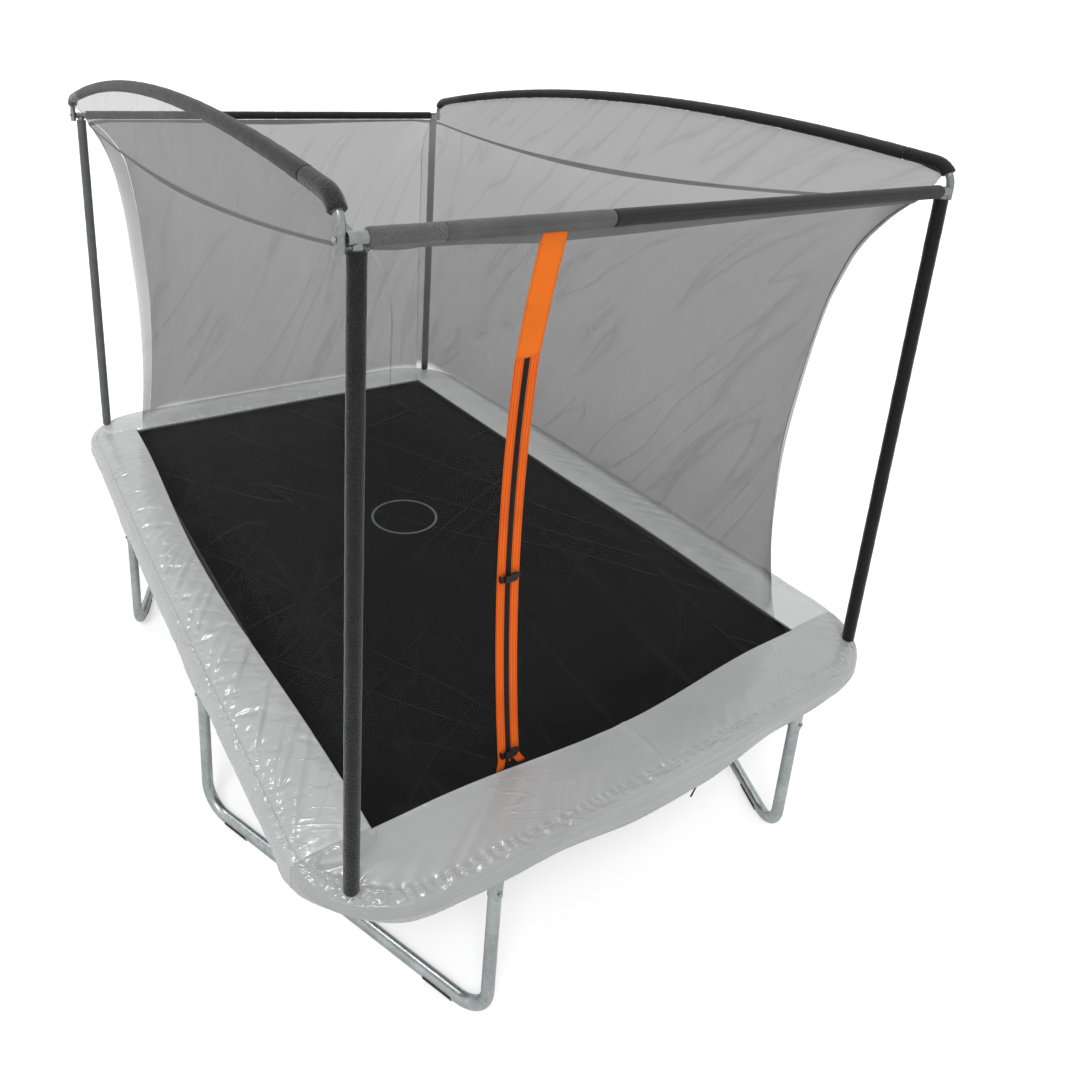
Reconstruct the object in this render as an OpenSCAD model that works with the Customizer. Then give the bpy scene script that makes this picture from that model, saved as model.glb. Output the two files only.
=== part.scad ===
// Rectangular garden trampoline with a safety net held by corner poles, two straight top rails
// and two arched side rails. X is the width, Y the length, Z up. The entrance faces -Y.
// The origin is on the ground under the middle of the frame. Millimetres.

/* [Frame] */
// Width over the frame rails
frame_width = 2440; // [2200:10:2700]
// Length over the frame rails
frame_length = 3660; // [3300:10:4000]
// Height of the rail centreline above the ground
rail_height = 650; // [560:5:760]
// Outside diameter of the frame rails
rail_od = 48; // [46:1:52]
// Wall of the frame rails
rail_wall = 2; // [1.5:0.25:3]
// Centreline radius of the rounded frame corners
corner_radius = 330; // [300:5:360]
// Straight length at each end of a corner tube
corner_end = 60; // [55:5:90]
// Length of each swaged neck
neck_length = 50; // [30:5:54]

/* [Legs] */
// Outside diameter of the leg tubes
leg_od = 42; // [38:1:44]
// Wall of the leg tubes
leg_wall = 2; // [1.5:0.25:3]
// Centreline radius of the leg bends
leg_bend_radius = 110; // [80:5:120]
// Height of the joint between a leg base and its posts
leg_joint_height = 165; // [150:5:200]
// Distance from the middle of a side rail to its leg post
side_post_offset = 613; // [560:1:700]
// Distance from the middle of an end rail to its leg post
end_post_offset = 680; // [620:1:720]
// Length of a leg socket below the rail centreline
socket_length = 120; // [90:5:160]
// Wall of a leg socket
socket_wall = 2.2; // [1.5:0.1:3]
// Thickness of a foot clip under the leg base
foot_thickness = 3; // [2:0.5:5]
// Length of a foot clip
foot_length = 110; // [60:5:160]
// Distance from the end of the leg base to the near end of a foot clip
foot_offset = 120; // [115:5:200]

/* [Mat and springs] */
// Thickness of the jumping mat
mat_thickness = 3; // [2:0.5:5]
// Distance between the inside of the rails and the edge of the mat
spring_span = 140; // [125:1:160]
// Radius of the corners of the mat
mat_corner_radius = 200; // [190:5:220]
// Height of the spring line above the rail centreline
spring_rise = 14; // [8:1:15]
// Distance between neighbouring springs
spring_pitch = 150; // [100:5:200]
// Outside diameter of the springs
spring_od = 22; // [16:1:24]
// Length of the hook at each end of a spring
hook_length = 14; // [10:1:20]
// Width of a triangular ring on the edge of the mat
ring_width = 34; // [28:1:44]
// Depth of a triangular ring
ring_depth = 24; // [20:1:30]

/* [Safety pads] */
// Thickness of the pads at their crown
pad_thickness = 22; // [18:1:30]
// Thickness of the pads along their inner edge
pad_edge = 16; // [10:1:17]
// Distance from the side rail centreline to the inner edge of the pads
pad_reach_side = 236; // [225:1:250]
// Distance from the end rail centreline to the inner edge of the pads
pad_reach_end = 250; // [235:1:260]
// How far the pads bulge outwards at the middle of each side
pad_bulge = 20; // [0:1:30]
// Drop of the skirt below the top of the pads
skirt_drop = 120; // [90:5:135]
// How far the skirt tucks in under the rounded corners
skirt_tuck = 25; // [0:1:30]
// Distance from the outer side of the rails to the seam between pad and skirt
skirt_seam = 60; // [45:1:80]

/* [Enclosure] */
// Height of the top rail centreline above the ground
top_rail_height = 2500; // [2300:10:2700]
// Outside diameter of the poles, top rails and arches
pole_od = 25; // [22:1:28]
// Wall of the poles, top rails and arches
pole_wall = 1.5; // [1:0.25:2.5]
// Outside diameter of the foam round the poles
foam_od = 46; // [40:1:54]
// Inside diameter of the foam round the poles
foam_id = 31; // [30:1:36]
// Rise of the arches above the top rail centreline
arch_rise = 218; // [180:2:260]
// Radius of the long curve of an arch
arch_radius = 10800; // [9000:100:14000]
// Radius of the bend at each end of an arch
arch_bend_radius = 80; // [60:5:90]
// Distance of an arch outboard of the poles
arch_offset = 38; // [36:1:46]
// Thickness of the netting
net_thickness = 2; // [1:0.5:4]

/* [Entrance] */
// Distance of the zip from the middle of the front, at the top rail
door_top_offset = 560; // [500:5:590]
// Distance of the zip from the middle of the front, at the mat
door_mat_offset = 460; // [400:5:500]
// Width of the orange entrance strip
door_width = 82; // [70:1:96]
// Width of the dark zip tape
zip_width = 20; // [16:1:24]
// Height of the top of the zip above the top of the pads
zip_height = 1415; // [1300:5:1500]
// Radius of the inward bow of the strip and of the front net
bow_radius = 5600; // [5000:100:7000]
// Height of the middle of the bow above the top of the pads
bow_height = 529; // [450:1:600]
// How far the bow stands in from the inner edge of the pads
bow_depth = 32; // [31:1:45]
// Height of the upper buckle above the top of the pads
buckle_upper = 690; // [600:5:800]
// Height of the lower buckle above the top of the pads
buckle_lower = 34; // [32:1:60]

/* [Hidden] */
$fn = 48;
fit = 0.3;             // radial clearance of tube joints, and the gap between faces that meet
run = 0.05;            // radial clearance of the pull on its pin
end_clip = 1;          // overlap used by cutting tools

side_x = frame_width / 2 - rail_od / 2;      // centreline of the side rails
end_y = frame_length / 2 - rail_od / 2;      // centreline of the end rails
arc_x = side_x - corner_radius;              // centre of a corner curve
arc_y = end_y - corner_radius;
rail_id = rail_od - 2 * rail_wall;
leg_id = leg_od - 2 * leg_wall;
socket_id = leg_od + 2 * fit;
socket_od = socket_id + 2 * socket_wall;
base_z = foot_thickness + leg_od / 2;        // centreline of a leg base
rail_top = rail_height + rail_od / 2;
post_top = rail_height - rail_od / 2 - 2;

mat_z = rail_height + spring_rise;           // middle of the mat's thickness, and the spring line
mat_top = mat_z + mat_thickness / 2;
mat_x = side_x - rail_od / 2 - spring_span;
mat_y = end_y - rail_od / 2 - spring_span;
hook_d = 4;                                  // wire of the springs
ring_bar = 4.5;
rail_cut = sqrt(pow(rail_od / 2, 2) - pow(spring_rise, 2));   // rail half width at the spring line

pad_under = rail_top + 2;                    // underside of the pads
pad_top = pad_under + pad_thickness;
pad_x = side_x - pad_reach_side;             // inner edges of the pads
pad_y = end_y - pad_reach_end;
skirt_t = 3;
skirt_gap = 1;                               // between the skirt and the rails
pole_x = arc_x + corner_radius * cos(45);    // the poles stand on the crown of the corner tubes
pole_y = arc_y + corner_radius * sin(45);

tee_od = 34;
tee_reach_out = arch_offset - pole_od / 2 - fit;   // from the pole to the outer mouth of a tee
tee_reach_in = 22;
tee_drop = 62;                               // from the top rail centreline to the tee's lower mouth
foam_drop = 24;                              // from the top rail centreline to the pole foam
arch_x = pole_x + arch_offset;
arch_top = top_rail_height + arch_rise;
arch_center_z = arch_top - arch_radius;
arch_y = pole_y;
bend_y = arch_y - arch_bend_radius;
bend_z = arch_center_z + sqrt(pow(arch_radius - arch_bend_radius, 2) - pow(bend_y, 2));
bend_angle = asin(bend_y / (arch_radius - arch_bend_radius));
arch_tail = 30;                              // below the top rail centreline
arch_bolt_r = 3;

net_low = mat_top + 2;
net_bottom_gap = 5;                          // between the net and the pads' inner edge
net_x = pad_x - net_bottom_gap;
net_height = top_rail_height - foam_od / 2 - fit - net_low;
seam_sag = 105;                              // of the elastic seam below an arch, at mid length
seam_inset = 30;

door_low = net_low;                          // height of the door's own origin
lean = atan((door_top_offset - door_mat_offset) / (top_rail_height - door_low));
bow_y = pad_y - bow_depth;                   // distance of the bow's deepest line from the X axis
bow_z = (pad_top + bow_height - door_low) / cos(lean);
zip_top = (pad_top + zip_height - door_low) / cos(lean);
band_t = 1.6;
chain_w = 6;
chain_t = 2.6;
slider_z = 42;                               // middle of the closed slider, along the strip
slider_h = 14;
slider_w = 11;
pin_r = 1.2;
pin_off = 7;                                 // pull pin, outwards from the face of the net
buckle_off = 11;                             // back of a buckle, outwards from the face of the net
buckle_w = 44;
buckle_h = 24;
buckle_t = 10;
clip_fit = 0.4;

// Corner signs in the order front left, front right, back left, back right
CORNERS = [[-1, -1], [1, -1], [-1, 1], [1, 1]];

// ---------- shared shapes ----------

// Tube along +Z
module tube(od, id, length) {
    difference() {
        cylinder(d = od, h = length);
        translate([0, 0, -end_clip]) cylinder(d = id, h = length + 2 * end_clip);
    }
}

// Solid or hollow bar that turns a given angle about the Z axis, from the +X axis
module bend(radius, angle, od, id = 0) {
    rotate_extrude(angle = angle, $fn = radius > 1000 ? 720 : 96)
        translate([radius, 0])
            difference() {
                circle(d = od, $fn = 48);
                if (id > 0) circle(d = id, $fn = 48);
            }
}

// Places its child, drawn for the front left corner, in the corner with the given signs
module at_corner(signs) {
    mirror([signs[0] > 0 ? 1 : 0, 0, 0]) mirror([0, signs[1] > 0 ? 1 : 0, 0]) children();
}

function cross_product(a, b) = [a[1] * b[2] - a[2] * b[1], a[2] * b[0] - a[0] * b[2], a[0] * b[1] - a[1] * b[0]];
function unit(v) = v / norm(v);

// Closed sheet of an even thickness on a grid of points, thickened along the grid's normals
module sheet(grid, thickness) {
    rows = len(grid);
    cols = len(grid[0]);
    normals = [for (i = [0 : rows - 1]) [for (j = [0 : cols - 1])
        unit(cross_product(
            grid[i][min(j + 1, cols - 1)] - grid[i][max(j - 1, 0)],
            grid[min(i + 1, rows - 1)][j] - grid[max(i - 1, 0)][j]))]];
    count = rows * cols;
    points = concat(
        [for (i = [0 : rows - 1]) for (j = [0 : cols - 1]) grid[i][j]],
        [for (i = [0 : rows - 1]) for (j = [0 : cols - 1]) grid[i][j] + thickness * normals[i][j]]);
    function at(i, j) = i * cols + j;
    faces = concat(
        [for (i = [0 : rows - 2]) for (j = [0 : cols - 2]) [at(i, j), at(i + 1, j), at(i + 1, j + 1)]],
        [for (i = [0 : rows - 2]) for (j = [0 : cols - 2]) [at(i, j), at(i + 1, j + 1), at(i, j + 1)]],
        [for (i = [0 : rows - 2]) for (j = [0 : cols - 2])
            [at(i, j) + count, at(i + 1, j + 1) + count, at(i + 1, j) + count]],
        [for (i = [0 : rows - 2]) for (j = [0 : cols - 2])
            [at(i, j) + count, at(i, j + 1) + count, at(i + 1, j + 1) + count]],
        [for (j = [0 : cols - 2]) each [
            [at(0, j), at(0, j + 1), at(0, j + 1) + count],
            [at(0, j), at(0, j + 1) + count, at(0, j) + count]]],
        [for (j = [0 : cols - 2]) each [
            [at(rows - 1, j + 1), at(rows - 1, j), at(rows - 1, j) + count],
            [at(rows - 1, j + 1), at(rows - 1, j) + count, at(rows - 1, j + 1) + count]]],
        [for (i = [0 : rows - 2]) each [
            [at(i + 1, 0), at(i, 0), at(i, 0) + count],
            [at(i + 1, 0), at(i, 0) + count, at(i + 1, 0) + count]]],
        [for (i = [0 : rows - 2]) each [
            [at(i, cols - 1), at(i + 1, cols - 1), at(i + 1, cols - 1) + count],
            [at(i, cols - 1), at(i + 1, cols - 1) + count, at(i, cols - 1) + count]]]);
    polyhedron(points = points, faces = faces, convexity = 8);
}

// Closed bar through a list of equal closed sections
module loft(sections) {
    rings = len(sections);
    sides = len(sections[0]);
    points = [for (ring = sections) each ring];
    faces = concat(
        [for (i = [0 : rings - 2]) for (j = [0 : sides - 1])
            [i * sides + j, (i + 1) * sides + j, (i + 1) * sides + (j + 1) % sides]],
        [for (i = [0 : rings - 2]) for (j = [0 : sides - 1])
            [i * sides + j, (i + 1) * sides + (j + 1) % sides, i * sides + (j + 1) % sides]],
        [[for (j = [0 : sides - 1]) j]],
        [[for (j = [sides - 1 : -1 : 0]) (rings - 1) * sides + j]]);
    polyhedron(points = points, faces = faces, convexity = 8);
}

// ---------- frame ----------

// Half of a rail along +X from the middle of the side, with its leg socket. The neck that enters
// the corner tube is always there, the neck at the middle only on one half.
module half_rail(length, post, middle_neck) {
    neck_od = rail_id - 2 * fit;
    neck_id = neck_od - 2 * rail_wall;
    difference() {
        union() {
            translate([fit / 2, 0, 0]) rotate([0, 90, 0]) cylinder(d = rail_od, h = length - fit / 2);
            translate([length - end_clip, 0, 0]) rotate([0, 90, 0])
                cylinder(d = neck_od, h = neck_length + end_clip);
            if (middle_neck) translate([-neck_length, 0, 0]) rotate([0, 90, 0])
                cylinder(d = neck_od, h = neck_length + end_clip);
            translate([post, 0, -socket_length]) cylinder(d = socket_od, h = socket_length);
        }
        translate([middle_neck ? -neck_length - end_clip : -end_clip, 0, 0]) rotate([0, 90, 0])
            cylinder(d = neck_id, h = length + 2 * neck_length + 2 * end_clip);
        translate([middle_neck ? rail_wall : -end_clip, 0, 0]) rotate([0, 90, 0])
            cylinder(d = rail_id, h = length - rail_wall - (middle_neck ? rail_wall : -end_clip));
        translate([post, 0, -socket_length - end_clip])
            cylinder(d = socket_id, h = socket_length - rail_od / 2 + end_clip);
        translate([post, 0, bolt_z - rail_height]) rotate([90, 0, 0])
            cylinder(r = leg_bolt_r + fit, h = socket_od);
    }
}

leg_bolt_r = 4;
bolt_z = rail_height - socket_length + 24;

// Both halves of an end rail, seen from outside with the outside towards -Y
module end_rail() {
    color("silver") translate([0, -end_y, rail_height]) {
        half_rail(arc_x - corner_end - fit, end_post_offset, true);
        mirror([1, 0, 0]) half_rail(arc_x - corner_end - fit, end_post_offset, false);
    }
}

module side_rail() {
    color("silver") translate([-side_x, 0, rail_height]) rotate([0, 0, -90]) {
        half_rail(arc_y - corner_end - fit, side_post_offset, true);
        mirror([1, 0, 0]) half_rail(arc_y - corner_end - fit, side_post_offset, false);
    }
}

spigot_d = pole_od - 2 * pole_wall - 2 * fit;
spigot_length = 90;

// Bent corner tube with the welded spigot that carries the pole
module corner_tube() {
    color("silver") translate([-arc_x, -arc_y, rail_height]) {
        difference() {
            union() {
                rotate([0, 0, 180]) bend(corner_radius, 90, rail_od);
                translate([-corner_radius, 0, 0]) rotate([-90, 0, 0]) cylinder(d = rail_od, h = corner_end);
                translate([0, -corner_radius, 0]) rotate([0, 90, 0]) cylinder(d = rail_od, h = corner_end);
                translate([arc_x - pole_x, arc_y - pole_y, rail_od / 4])
                    cylinder(d = spigot_d, h = rail_od / 4 + spigot_length);
            }
            rotate([0, 0, 180]) bend(corner_radius, 90, rail_id);
            translate([-corner_radius, 0, 0]) rotate([-90, 0, 0])
                cylinder(d = rail_id, h = corner_end + end_clip);
            translate([0, -corner_radius, 0]) rotate([0, 90, 0])
                cylinder(d = rail_id, h = corner_end + end_clip);
        }
    }
}

// ---------- legs ----------

side_post = [-side_x, -side_post_offset];
end_post = [-end_post_offset, -end_y];
base_run = norm(end_post - side_post);
base_turn = atan2(end_post[1] - side_post[1], end_post[0] - side_post[0]);

module leg_post(place, out) {
    bolt_hole = leg_bolt_r + fit;
    translate([place[0], place[1], leg_joint_height + fit]) difference() {
        tube(leg_od, leg_id, post_top - leg_joint_height - fit);
        translate([0, 0, bolt_z - leg_joint_height - fit]) rotate([0, 0, out]) rotate([90, 0, 0])
            cylinder(r = bolt_hole, h = leg_od);
    }
}

module leg_posts() {
    color("silver") {
        leg_post(side_post, -90);
        leg_post(end_post, 0);
    }
}

// One end of a leg base, standing at the origin with the base running along +X
module base_end() {
    translate([leg_bend_radius, 0, base_z + leg_bend_radius]) rotate([90, 0, 0])
        rotate([0, 0, 180]) bend(leg_bend_radius, 90, leg_od, leg_id);
    straight = leg_joint_height - base_z - leg_bend_radius;
    translate([0, 0, leg_joint_height - straight]) tube(leg_od, leg_id, straight);
    neck_od = leg_id - 2 * fit;
    translate([0, 0, leg_joint_height - leg_wall]) difference() {
        cylinder(d1 = leg_id + leg_wall, d2 = neck_od, h = leg_wall);
        translate([0, 0, -end_clip]) cylinder(d = neck_od - 2 * leg_wall, h = leg_wall + 2 * end_clip);
    }
    translate([0, 0, leg_joint_height]) tube(neck_od, neck_od - 2 * leg_wall, neck_length);
}

module leg_base() {
    color("silver") translate([side_post[0], side_post[1], 0]) rotate([0, 0, base_turn]) {
        base_end();
        translate([base_run, 0, 0]) mirror([1, 0, 0]) base_end();
        translate([leg_bend_radius, 0, base_z]) rotate([0, 90, 0])
            tube(leg_od, leg_id, base_run - 2 * leg_bend_radius);
    }
}

// Flat-bottomed half shell that grips the underside of a leg base
module foot_clip() {
    clip_r = leg_od / 2 + fit;
    difference() {
        union() {
            rotate([0, 90, 0]) cylinder(r = clip_r + foot_thickness - fit, h = foot_length);
            translate([0, -leg_od / 3, -base_z]) cube([foot_length, leg_od * 2 / 3, base_z - leg_od / 3]);
        }
        translate([-end_clip, 0, 0]) rotate([0, 90, 0]) cylinder(r = clip_r, h = foot_length + 2 * end_clip);
        translate([-end_clip, -leg_od, 0]) cube([foot_length + 2 * end_clip, 2 * leg_od, leg_od]);
    }
}

module foot_clips() {
    color([0.12, 0.12, 0.13]) for (signs = CORNERS) at_corner(signs)
        translate([side_post[0], side_post[1], base_z]) rotate([0, 0, base_turn]) {
            translate([foot_offset, 0, 0]) foot_clip();
            translate([base_run - foot_offset - foot_length, 0, 0]) foot_clip();
        }
}

// Hexagon bolt along +Y, with the underside of its head at the origin
module bolt(radius, length, head) {
    rotate([-90, 0, 0]) cylinder(r = radius, h = length);
    rotate([90, 0, 0]) cylinder(r = head, h = head * 0.7, $fn = 6);
    rotate([90, 0, 0]) cylinder(r = head * 1.25, h = 1.2);
}

module frame_bolts() {
    color("gainsboro") for (signs = CORNERS) at_corner(signs) {
        translate([end_post[0], end_post[1] - socket_od / 2 - fit, bolt_z])
            bolt(leg_bolt_r, socket_od / 2, 7);
        translate([side_post[0] - socket_od / 2 - fit, side_post[1], bolt_z]) rotate([0, 0, -90])
            bolt(leg_bolt_r, socket_od / 2, 7);
        translate([-arch_x - pole_od / 2 - fit, -pole_y, top_rail_height]) rotate([0, 0, -90])
            bolt(arch_bolt_r, arch_x - pole_x + pole_od / 2 - tee_web + 4, 6);
    }
}

// ---------- mat and springs ----------

module rounded_plate(x, y, r, t) {
    linear_extrude(t) {
        square([2 * x, 2 * (y - r)], center = true);
        square([2 * (x - r), 2 * y], center = true);
        for (sx = [-1, 1]) for (sy = [-1, 1]) translate([sx * (x - r), sy * (y - r)]) circle(r = r, $fn = 96);
    }
}

module mat() {
    color([0.1, 0.1, 0.11]) translate([0, 0, mat_z - mat_thickness / 2])
        rounded_plate(mat_x, mat_y, mat_corner_radius, mat_thickness);
}

side_springs = floor(2 * (arc_y - 30) / spring_pitch) + 1;
end_springs = floor(2 * (arc_x - 30) / spring_pitch) + 1;

// Repeats its child, which points along +X from the edge of the mat, at every spring
module at_springs() {
    for (turn = [0, 180]) rotate([0, 0, turn]) {
        for (i = [0 : side_springs - 1])
            translate([mat_x, (i - (side_springs - 1) / 2) * spring_pitch, mat_z]) children();
        for (i = [0 : end_springs - 1])
            translate([(i - (end_springs - 1) / 2) * spring_pitch, mat_y, mat_z]) rotate([0, 0, 90]) children();
    }
}

module at_corner_springs() {
    reach = mat_corner_radius * cos(45);
    for (signs = CORNERS)
        translate([signs[0] * (mat_x - mat_corner_radius + reach), signs[1] * (mat_y - mat_corner_radius + reach), mat_z])
            rotate([0, 0, atan2(signs[1], signs[0])]) children();
}

// Triangular steel ring with its bar against the edge of the mat
module mat_ring() {
    half = ring_width / 2;
    slope = ring_bar * 1.6;
    translate([fit, 0, -ring_bar / 2]) linear_extrude(ring_bar) difference() {
        polygon([[0, -half], [ring_depth - 4, -5], [ring_depth, 0], [ring_depth - 4, 5], [0, half]]);
        polygon([[ring_bar, slope - half], [ring_depth - slope, -3], [ring_depth - slope, 3], [ring_bar, half - slope]]);
    }
}

module mat_rings() {
    color("gainsboro") {
        at_springs() mat_ring();
        at_corner_springs() mat_ring();
    }
}

// Coil spring of a given span, as its outer cylinder and two hooks
module spring(span) {
    translate([ring_depth + 2 * fit, 0, 0]) rotate([0, 90, 0]) {
        cylinder(d = hook_d, h = span, $fn = 6);
        translate([0, 0, hook_length]) cylinder(d = spring_od, h = span - 2 * hook_length, $fn = 8);
    }
}

module springs() {
    side_gap = spring_span + rail_od / 2 - rail_cut;
    corner_gap = (corner_radius - mat_corner_radius - rail_cut)
        + norm([arc_x - mat_x + mat_corner_radius, arc_y - mat_y + mat_corner_radius]);
    color("silver") {
        at_springs() spring(side_gap - ring_depth - 3 * fit);
        at_corner_springs() spring(corner_gap - ring_depth - 3 * fit);
    }
}

// ---------- safety pads ----------

// Section of a pad from its inner edge (in) to the outer side of the rail (out), points of the plan.
// lift is 1 in the middle of a pad and lower near its ends. tuck draws in the skirt's lower edge.
function pad_section(in, out, lift, tuck) =
    let(
        along = unit(out - in),
        width = norm(out - in),
        inside = width + skirt_gap,
        shell = inside + skirt_t,
        low = pad_top - skirt_drop,
        turn = rail_height - rail_od / 4,
        high = pad_under + pad_edge + (pad_thickness - pad_edge) * lift,
        profile = [
            [3, pad_under], [0, pad_under + pad_edge * 0.45], [8, pad_under + pad_edge * 0.9],
            [width * 0.2, (high + pad_under + pad_edge) / 2], [width * 0.5, high],
            [width - skirt_seam, high - 2], [width - skirt_seam / 3, high - 6],
            [shell - 3, high - 16], [shell, high - 26], [shell, turn], [shell - tuck, low],
            [inside - tuck, low], [inside, turn], [inside, pad_under - 5], [inside - 5, pad_under]])
    [for (p = profile) [in[0] + along[0] * p[0], in[1] + along[1] * p[0], p[1]]];

pad_gap = 1;                                 // between neighbouring pads

function bump(t) = pow(cos(90 * min(abs(t), 1)), 2);

// Pad along the whole left rail, from the back to the front
module side_pad() {
    steps = 16;
    sections = [for (i = [0 : steps])
        let(t = 1 - 2 * i / steps, y = t * (pad_y - pad_gap))
        pad_section([-pad_x, y], [-side_x - rail_od / 2 - pad_bulge * bump(t), y],
            0.3 + 0.7 * pow(1 - pow(t, 4), 0.5), 0)];
    color([0.74, 0.75, 0.76]) loft(sections);
}

// Sections of the front pad, from its middle to the left and round the corner
pad_steps = 7;
pad_fan = 12;
pad_tip = 6;                                 // radius of the pad's inner corner
function front_sections() =
    let(
        outer = side_x + rail_od / 2,
        front = end_y + rail_od / 2,
        round = corner_radius + rail_od / 2,
        edge = -pad_y - pad_gap)
    concat(
        [for (i = [0 : pad_steps])
            let(t = i / pad_steps, x = -t * (pad_x - pad_tip))
            pad_section([x, -pad_y], [x, -front - pad_bulge * bump(x / pad_x)], 1, 0)],
        [for (i = [1 : pad_fan])
            let(
                angle = 90 * i / pad_fan,
                turn = [-sin(angle), -cos(angle)],
                in = [-pad_x + pad_tip - pad_tip * sin(angle), edge + pad_tip * (1 - cos(angle))],
                hit = corner_hit(in, turn, outer, front, round))
            pad_section([in[0], min(in[1], edge)], [hit[0], min(hit[1], edge)],
                1 - 0.7 * pow(i / pad_fan, 6), skirt_tuck * pow(sin(180 * i / pad_fan), 0.5))]);

// Pad along the whole front rail and round both corners
module end_pad() {
    half = front_sections();
    other = [for (i = [len(half) - 1 : -1 : 1]) [for (p = half[i]) [-p[0], p[1], p[2]]]];
    color([0.74, 0.75, 0.76]) difference() {
        loft(concat(other, half));
        for (side = [-1, 1]) translate([side * pole_x, -pole_y, pad_under - end_clip])
            cylinder(d = pole_od + 4 * fit, h = pad_thickness * 2);
    }
}

// End of a tie that hangs out below the skirt
module pad_tie() {
    tie_x = 90;
    color([0.08, 0.08, 0.08])
        translate([tie_x, -end_y - rail_od / 2 - skirt_gap - skirt_t - pad_bulge * bump(tie_x / pad_x) - fit, pad_top - skirt_drop])
            rotate([0, -35, 0]) translate([-4, -1.5, -34]) cube([8, 1.5, 54]);
}

// Where a ray in the front left quarter meets the rounded outline of the frame
function corner_hit(from, dir, outer, front, round) =
    let(
        to_side = dir[0] < -0.001 ? (-outer - from[0]) / dir[0] : 1e9,
        to_front = dir[1] < -0.001 ? (-front - from[1]) / dir[1] : 1e9,
        center = [-outer + round, -front + round],
        rel = from - center,
        b = rel * dir,
        c = rel * rel - round * round,
        to_arc = -b + sqrt(max(b * b - c, 0)),
        p_front = from + to_front * dir,
        p_side = from + to_side * dir)
    p_front[0] >= center[0] ? p_front : (p_side[1] >= center[1] ? p_side : from + to_arc * dir);

// ---------- enclosure ----------

module pole() {
    color("silver") translate([-pole_x, -pole_y, rail_top + fit])
        tube(pole_od, pole_od - 2 * pole_wall, top_rail_height - tee_od / 2 - rail_top - 2 * fit);
}

foam_seat = 3;                               // the foam stands this far below the crown of the pads

module pole_foam(shade) {
    color(shade) translate([-pole_x, -pole_y, pad_top - foam_seat + fit])
        tube(foam_od, foam_id, top_rail_height - foam_drop - pad_top + foam_seat - 2 * fit);
}

tee_web = 8;                                 // from the pole axis to the inside of the web in a tee

// Tee that joins a pole, a top rail and the end of an arch
module tee() {
    color("silver") translate([-pole_x, -pole_y, top_rail_height]) difference() {
        union() {
            translate([-tee_reach_out, 0, 0]) rotate([0, 90, 0]) cylinder(d = tee_od, h = tee_reach_out + tee_reach_in);
            translate([0, 0, -tee_drop]) cylinder(d = foam_id - 1, h = tee_drop);
        }
        translate([-tee_web, 0, 0]) rotate([0, 90, 0])
            cylinder(d = pole_od + 2 * fit, h = tee_reach_in + tee_web + end_clip);
        translate([-tee_reach_out - end_clip, 0, 0]) rotate([0, 90, 0])
            cylinder(d = pole_od + 2 * fit, h = tee_reach_out - tee_web - 3 + end_clip);
        translate([-tee_reach_out, 0, 0]) rotate([0, 90, 0]) cylinder(r = arch_bolt_r + fit, h = tee_reach_out);
        translate([0, 0, -tee_drop - end_clip])
            cylinder(d = pole_od + 2 * fit, h = tee_drop + end_clip - tee_od / 2 + fit);
    }
}

module top_rail() {
    reach = pole_x;
    color("silver") translate([-reach, -pole_y, top_rail_height]) rotate([0, 90, 0])
        tube(pole_od, pole_od - 2 * pole_wall, 2 * reach);
}

// Foam on a top rail between two distances from the middle
module rail_foam(from, to) {
    translate([from, -pole_y, top_rail_height]) rotate([0, 90, 0])
        tube(foam_od, foam_id, to - from);
}

foam_split = -390;                           // where the grey foam of the front rail ends

module top_rail_foam() {
    foam_end = pole_x - tee_reach_in - fit;
    color([0.4, 0.4, 0.41]) rail_foam(-foam_end, foam_split - fit / 2);
    color([0.13, 0.13, 0.14]) rail_foam(foam_split + fit / 2, foam_end);
    color([0.3, 0.3, 0.3]) mirror([0, 1, 0]) {
        rail_foam(-foam_end, -fit / 2);
        rail_foam(fit / 2, foam_end);
    }
}

// Part of the long curve of the left arch between two distances along Y
module arch_curve(from, to, od, id) {
    a = asin(from / arch_radius);
    b = asin(to / arch_radius);
    translate([-arch_x, 0, arch_center_z]) rotate([90, 0, 90]) rotate([0, 0, 90 - b])
        bend(arch_radius, b - a, od, id);
}

// The bend at the front end of the left arch, over the last part of its turn
module arch_bend(turned, od, id) {
    translate([-arch_x, -bend_y, bend_z]) rotate([90, 0, 90])
        rotate([0, 0, 90 + bend_angle]) bend(arch_bend_radius, turned, od, id);
}

tangent_y = arch_radius * sin(bend_angle);

// Places its child, drawn in the plane of the bend at the front end of the left arch
module at_bend(turn) {
    translate([-arch_x, -bend_y, bend_z]) rotate([90, 0, 90]) rotate([0, 0, turn]) children();
}

// Bent tube with a straight tail that stands beside the tee, cut off square where the long curve starts
module arch_end() {
    difference() {
        union() {
            at_bend(90) bend(arch_bend_radius, 90, pole_od, pole_od - 2 * pole_wall);
            translate([-arch_x, -arch_y, top_rail_height - arch_tail])
                tube(pole_od, pole_od - 2 * pole_wall, bend_z - top_rail_height + arch_tail);
        }
        at_bend(90 + bend_angle) translate([0, -pole_od * 2, -pole_od])
            cube([arch_bend_radius + pole_od, pole_od * 2, pole_od * 2]);
        translate([-arch_x - pole_od, -arch_y, top_rail_height]) rotate([0, 90, 0])
            cylinder(r = arch_bolt_r + fit, h = 2 * pole_od);
    }
}

// Two long curved tubes that meet at mid length, and the bent ends
module arch() {
    color("silver") for (end = [0, 1]) mirror([0, end, 0]) {
        arch_curve(-tangent_y + fit, -fit / 2, pole_od, pole_od - 2 * pole_wall);
        arch_end();
    }
}

sleeve_front = -1530;
sleeve_back = 1410;
arch_foam_id = pole_od + 2 * fit;

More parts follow.
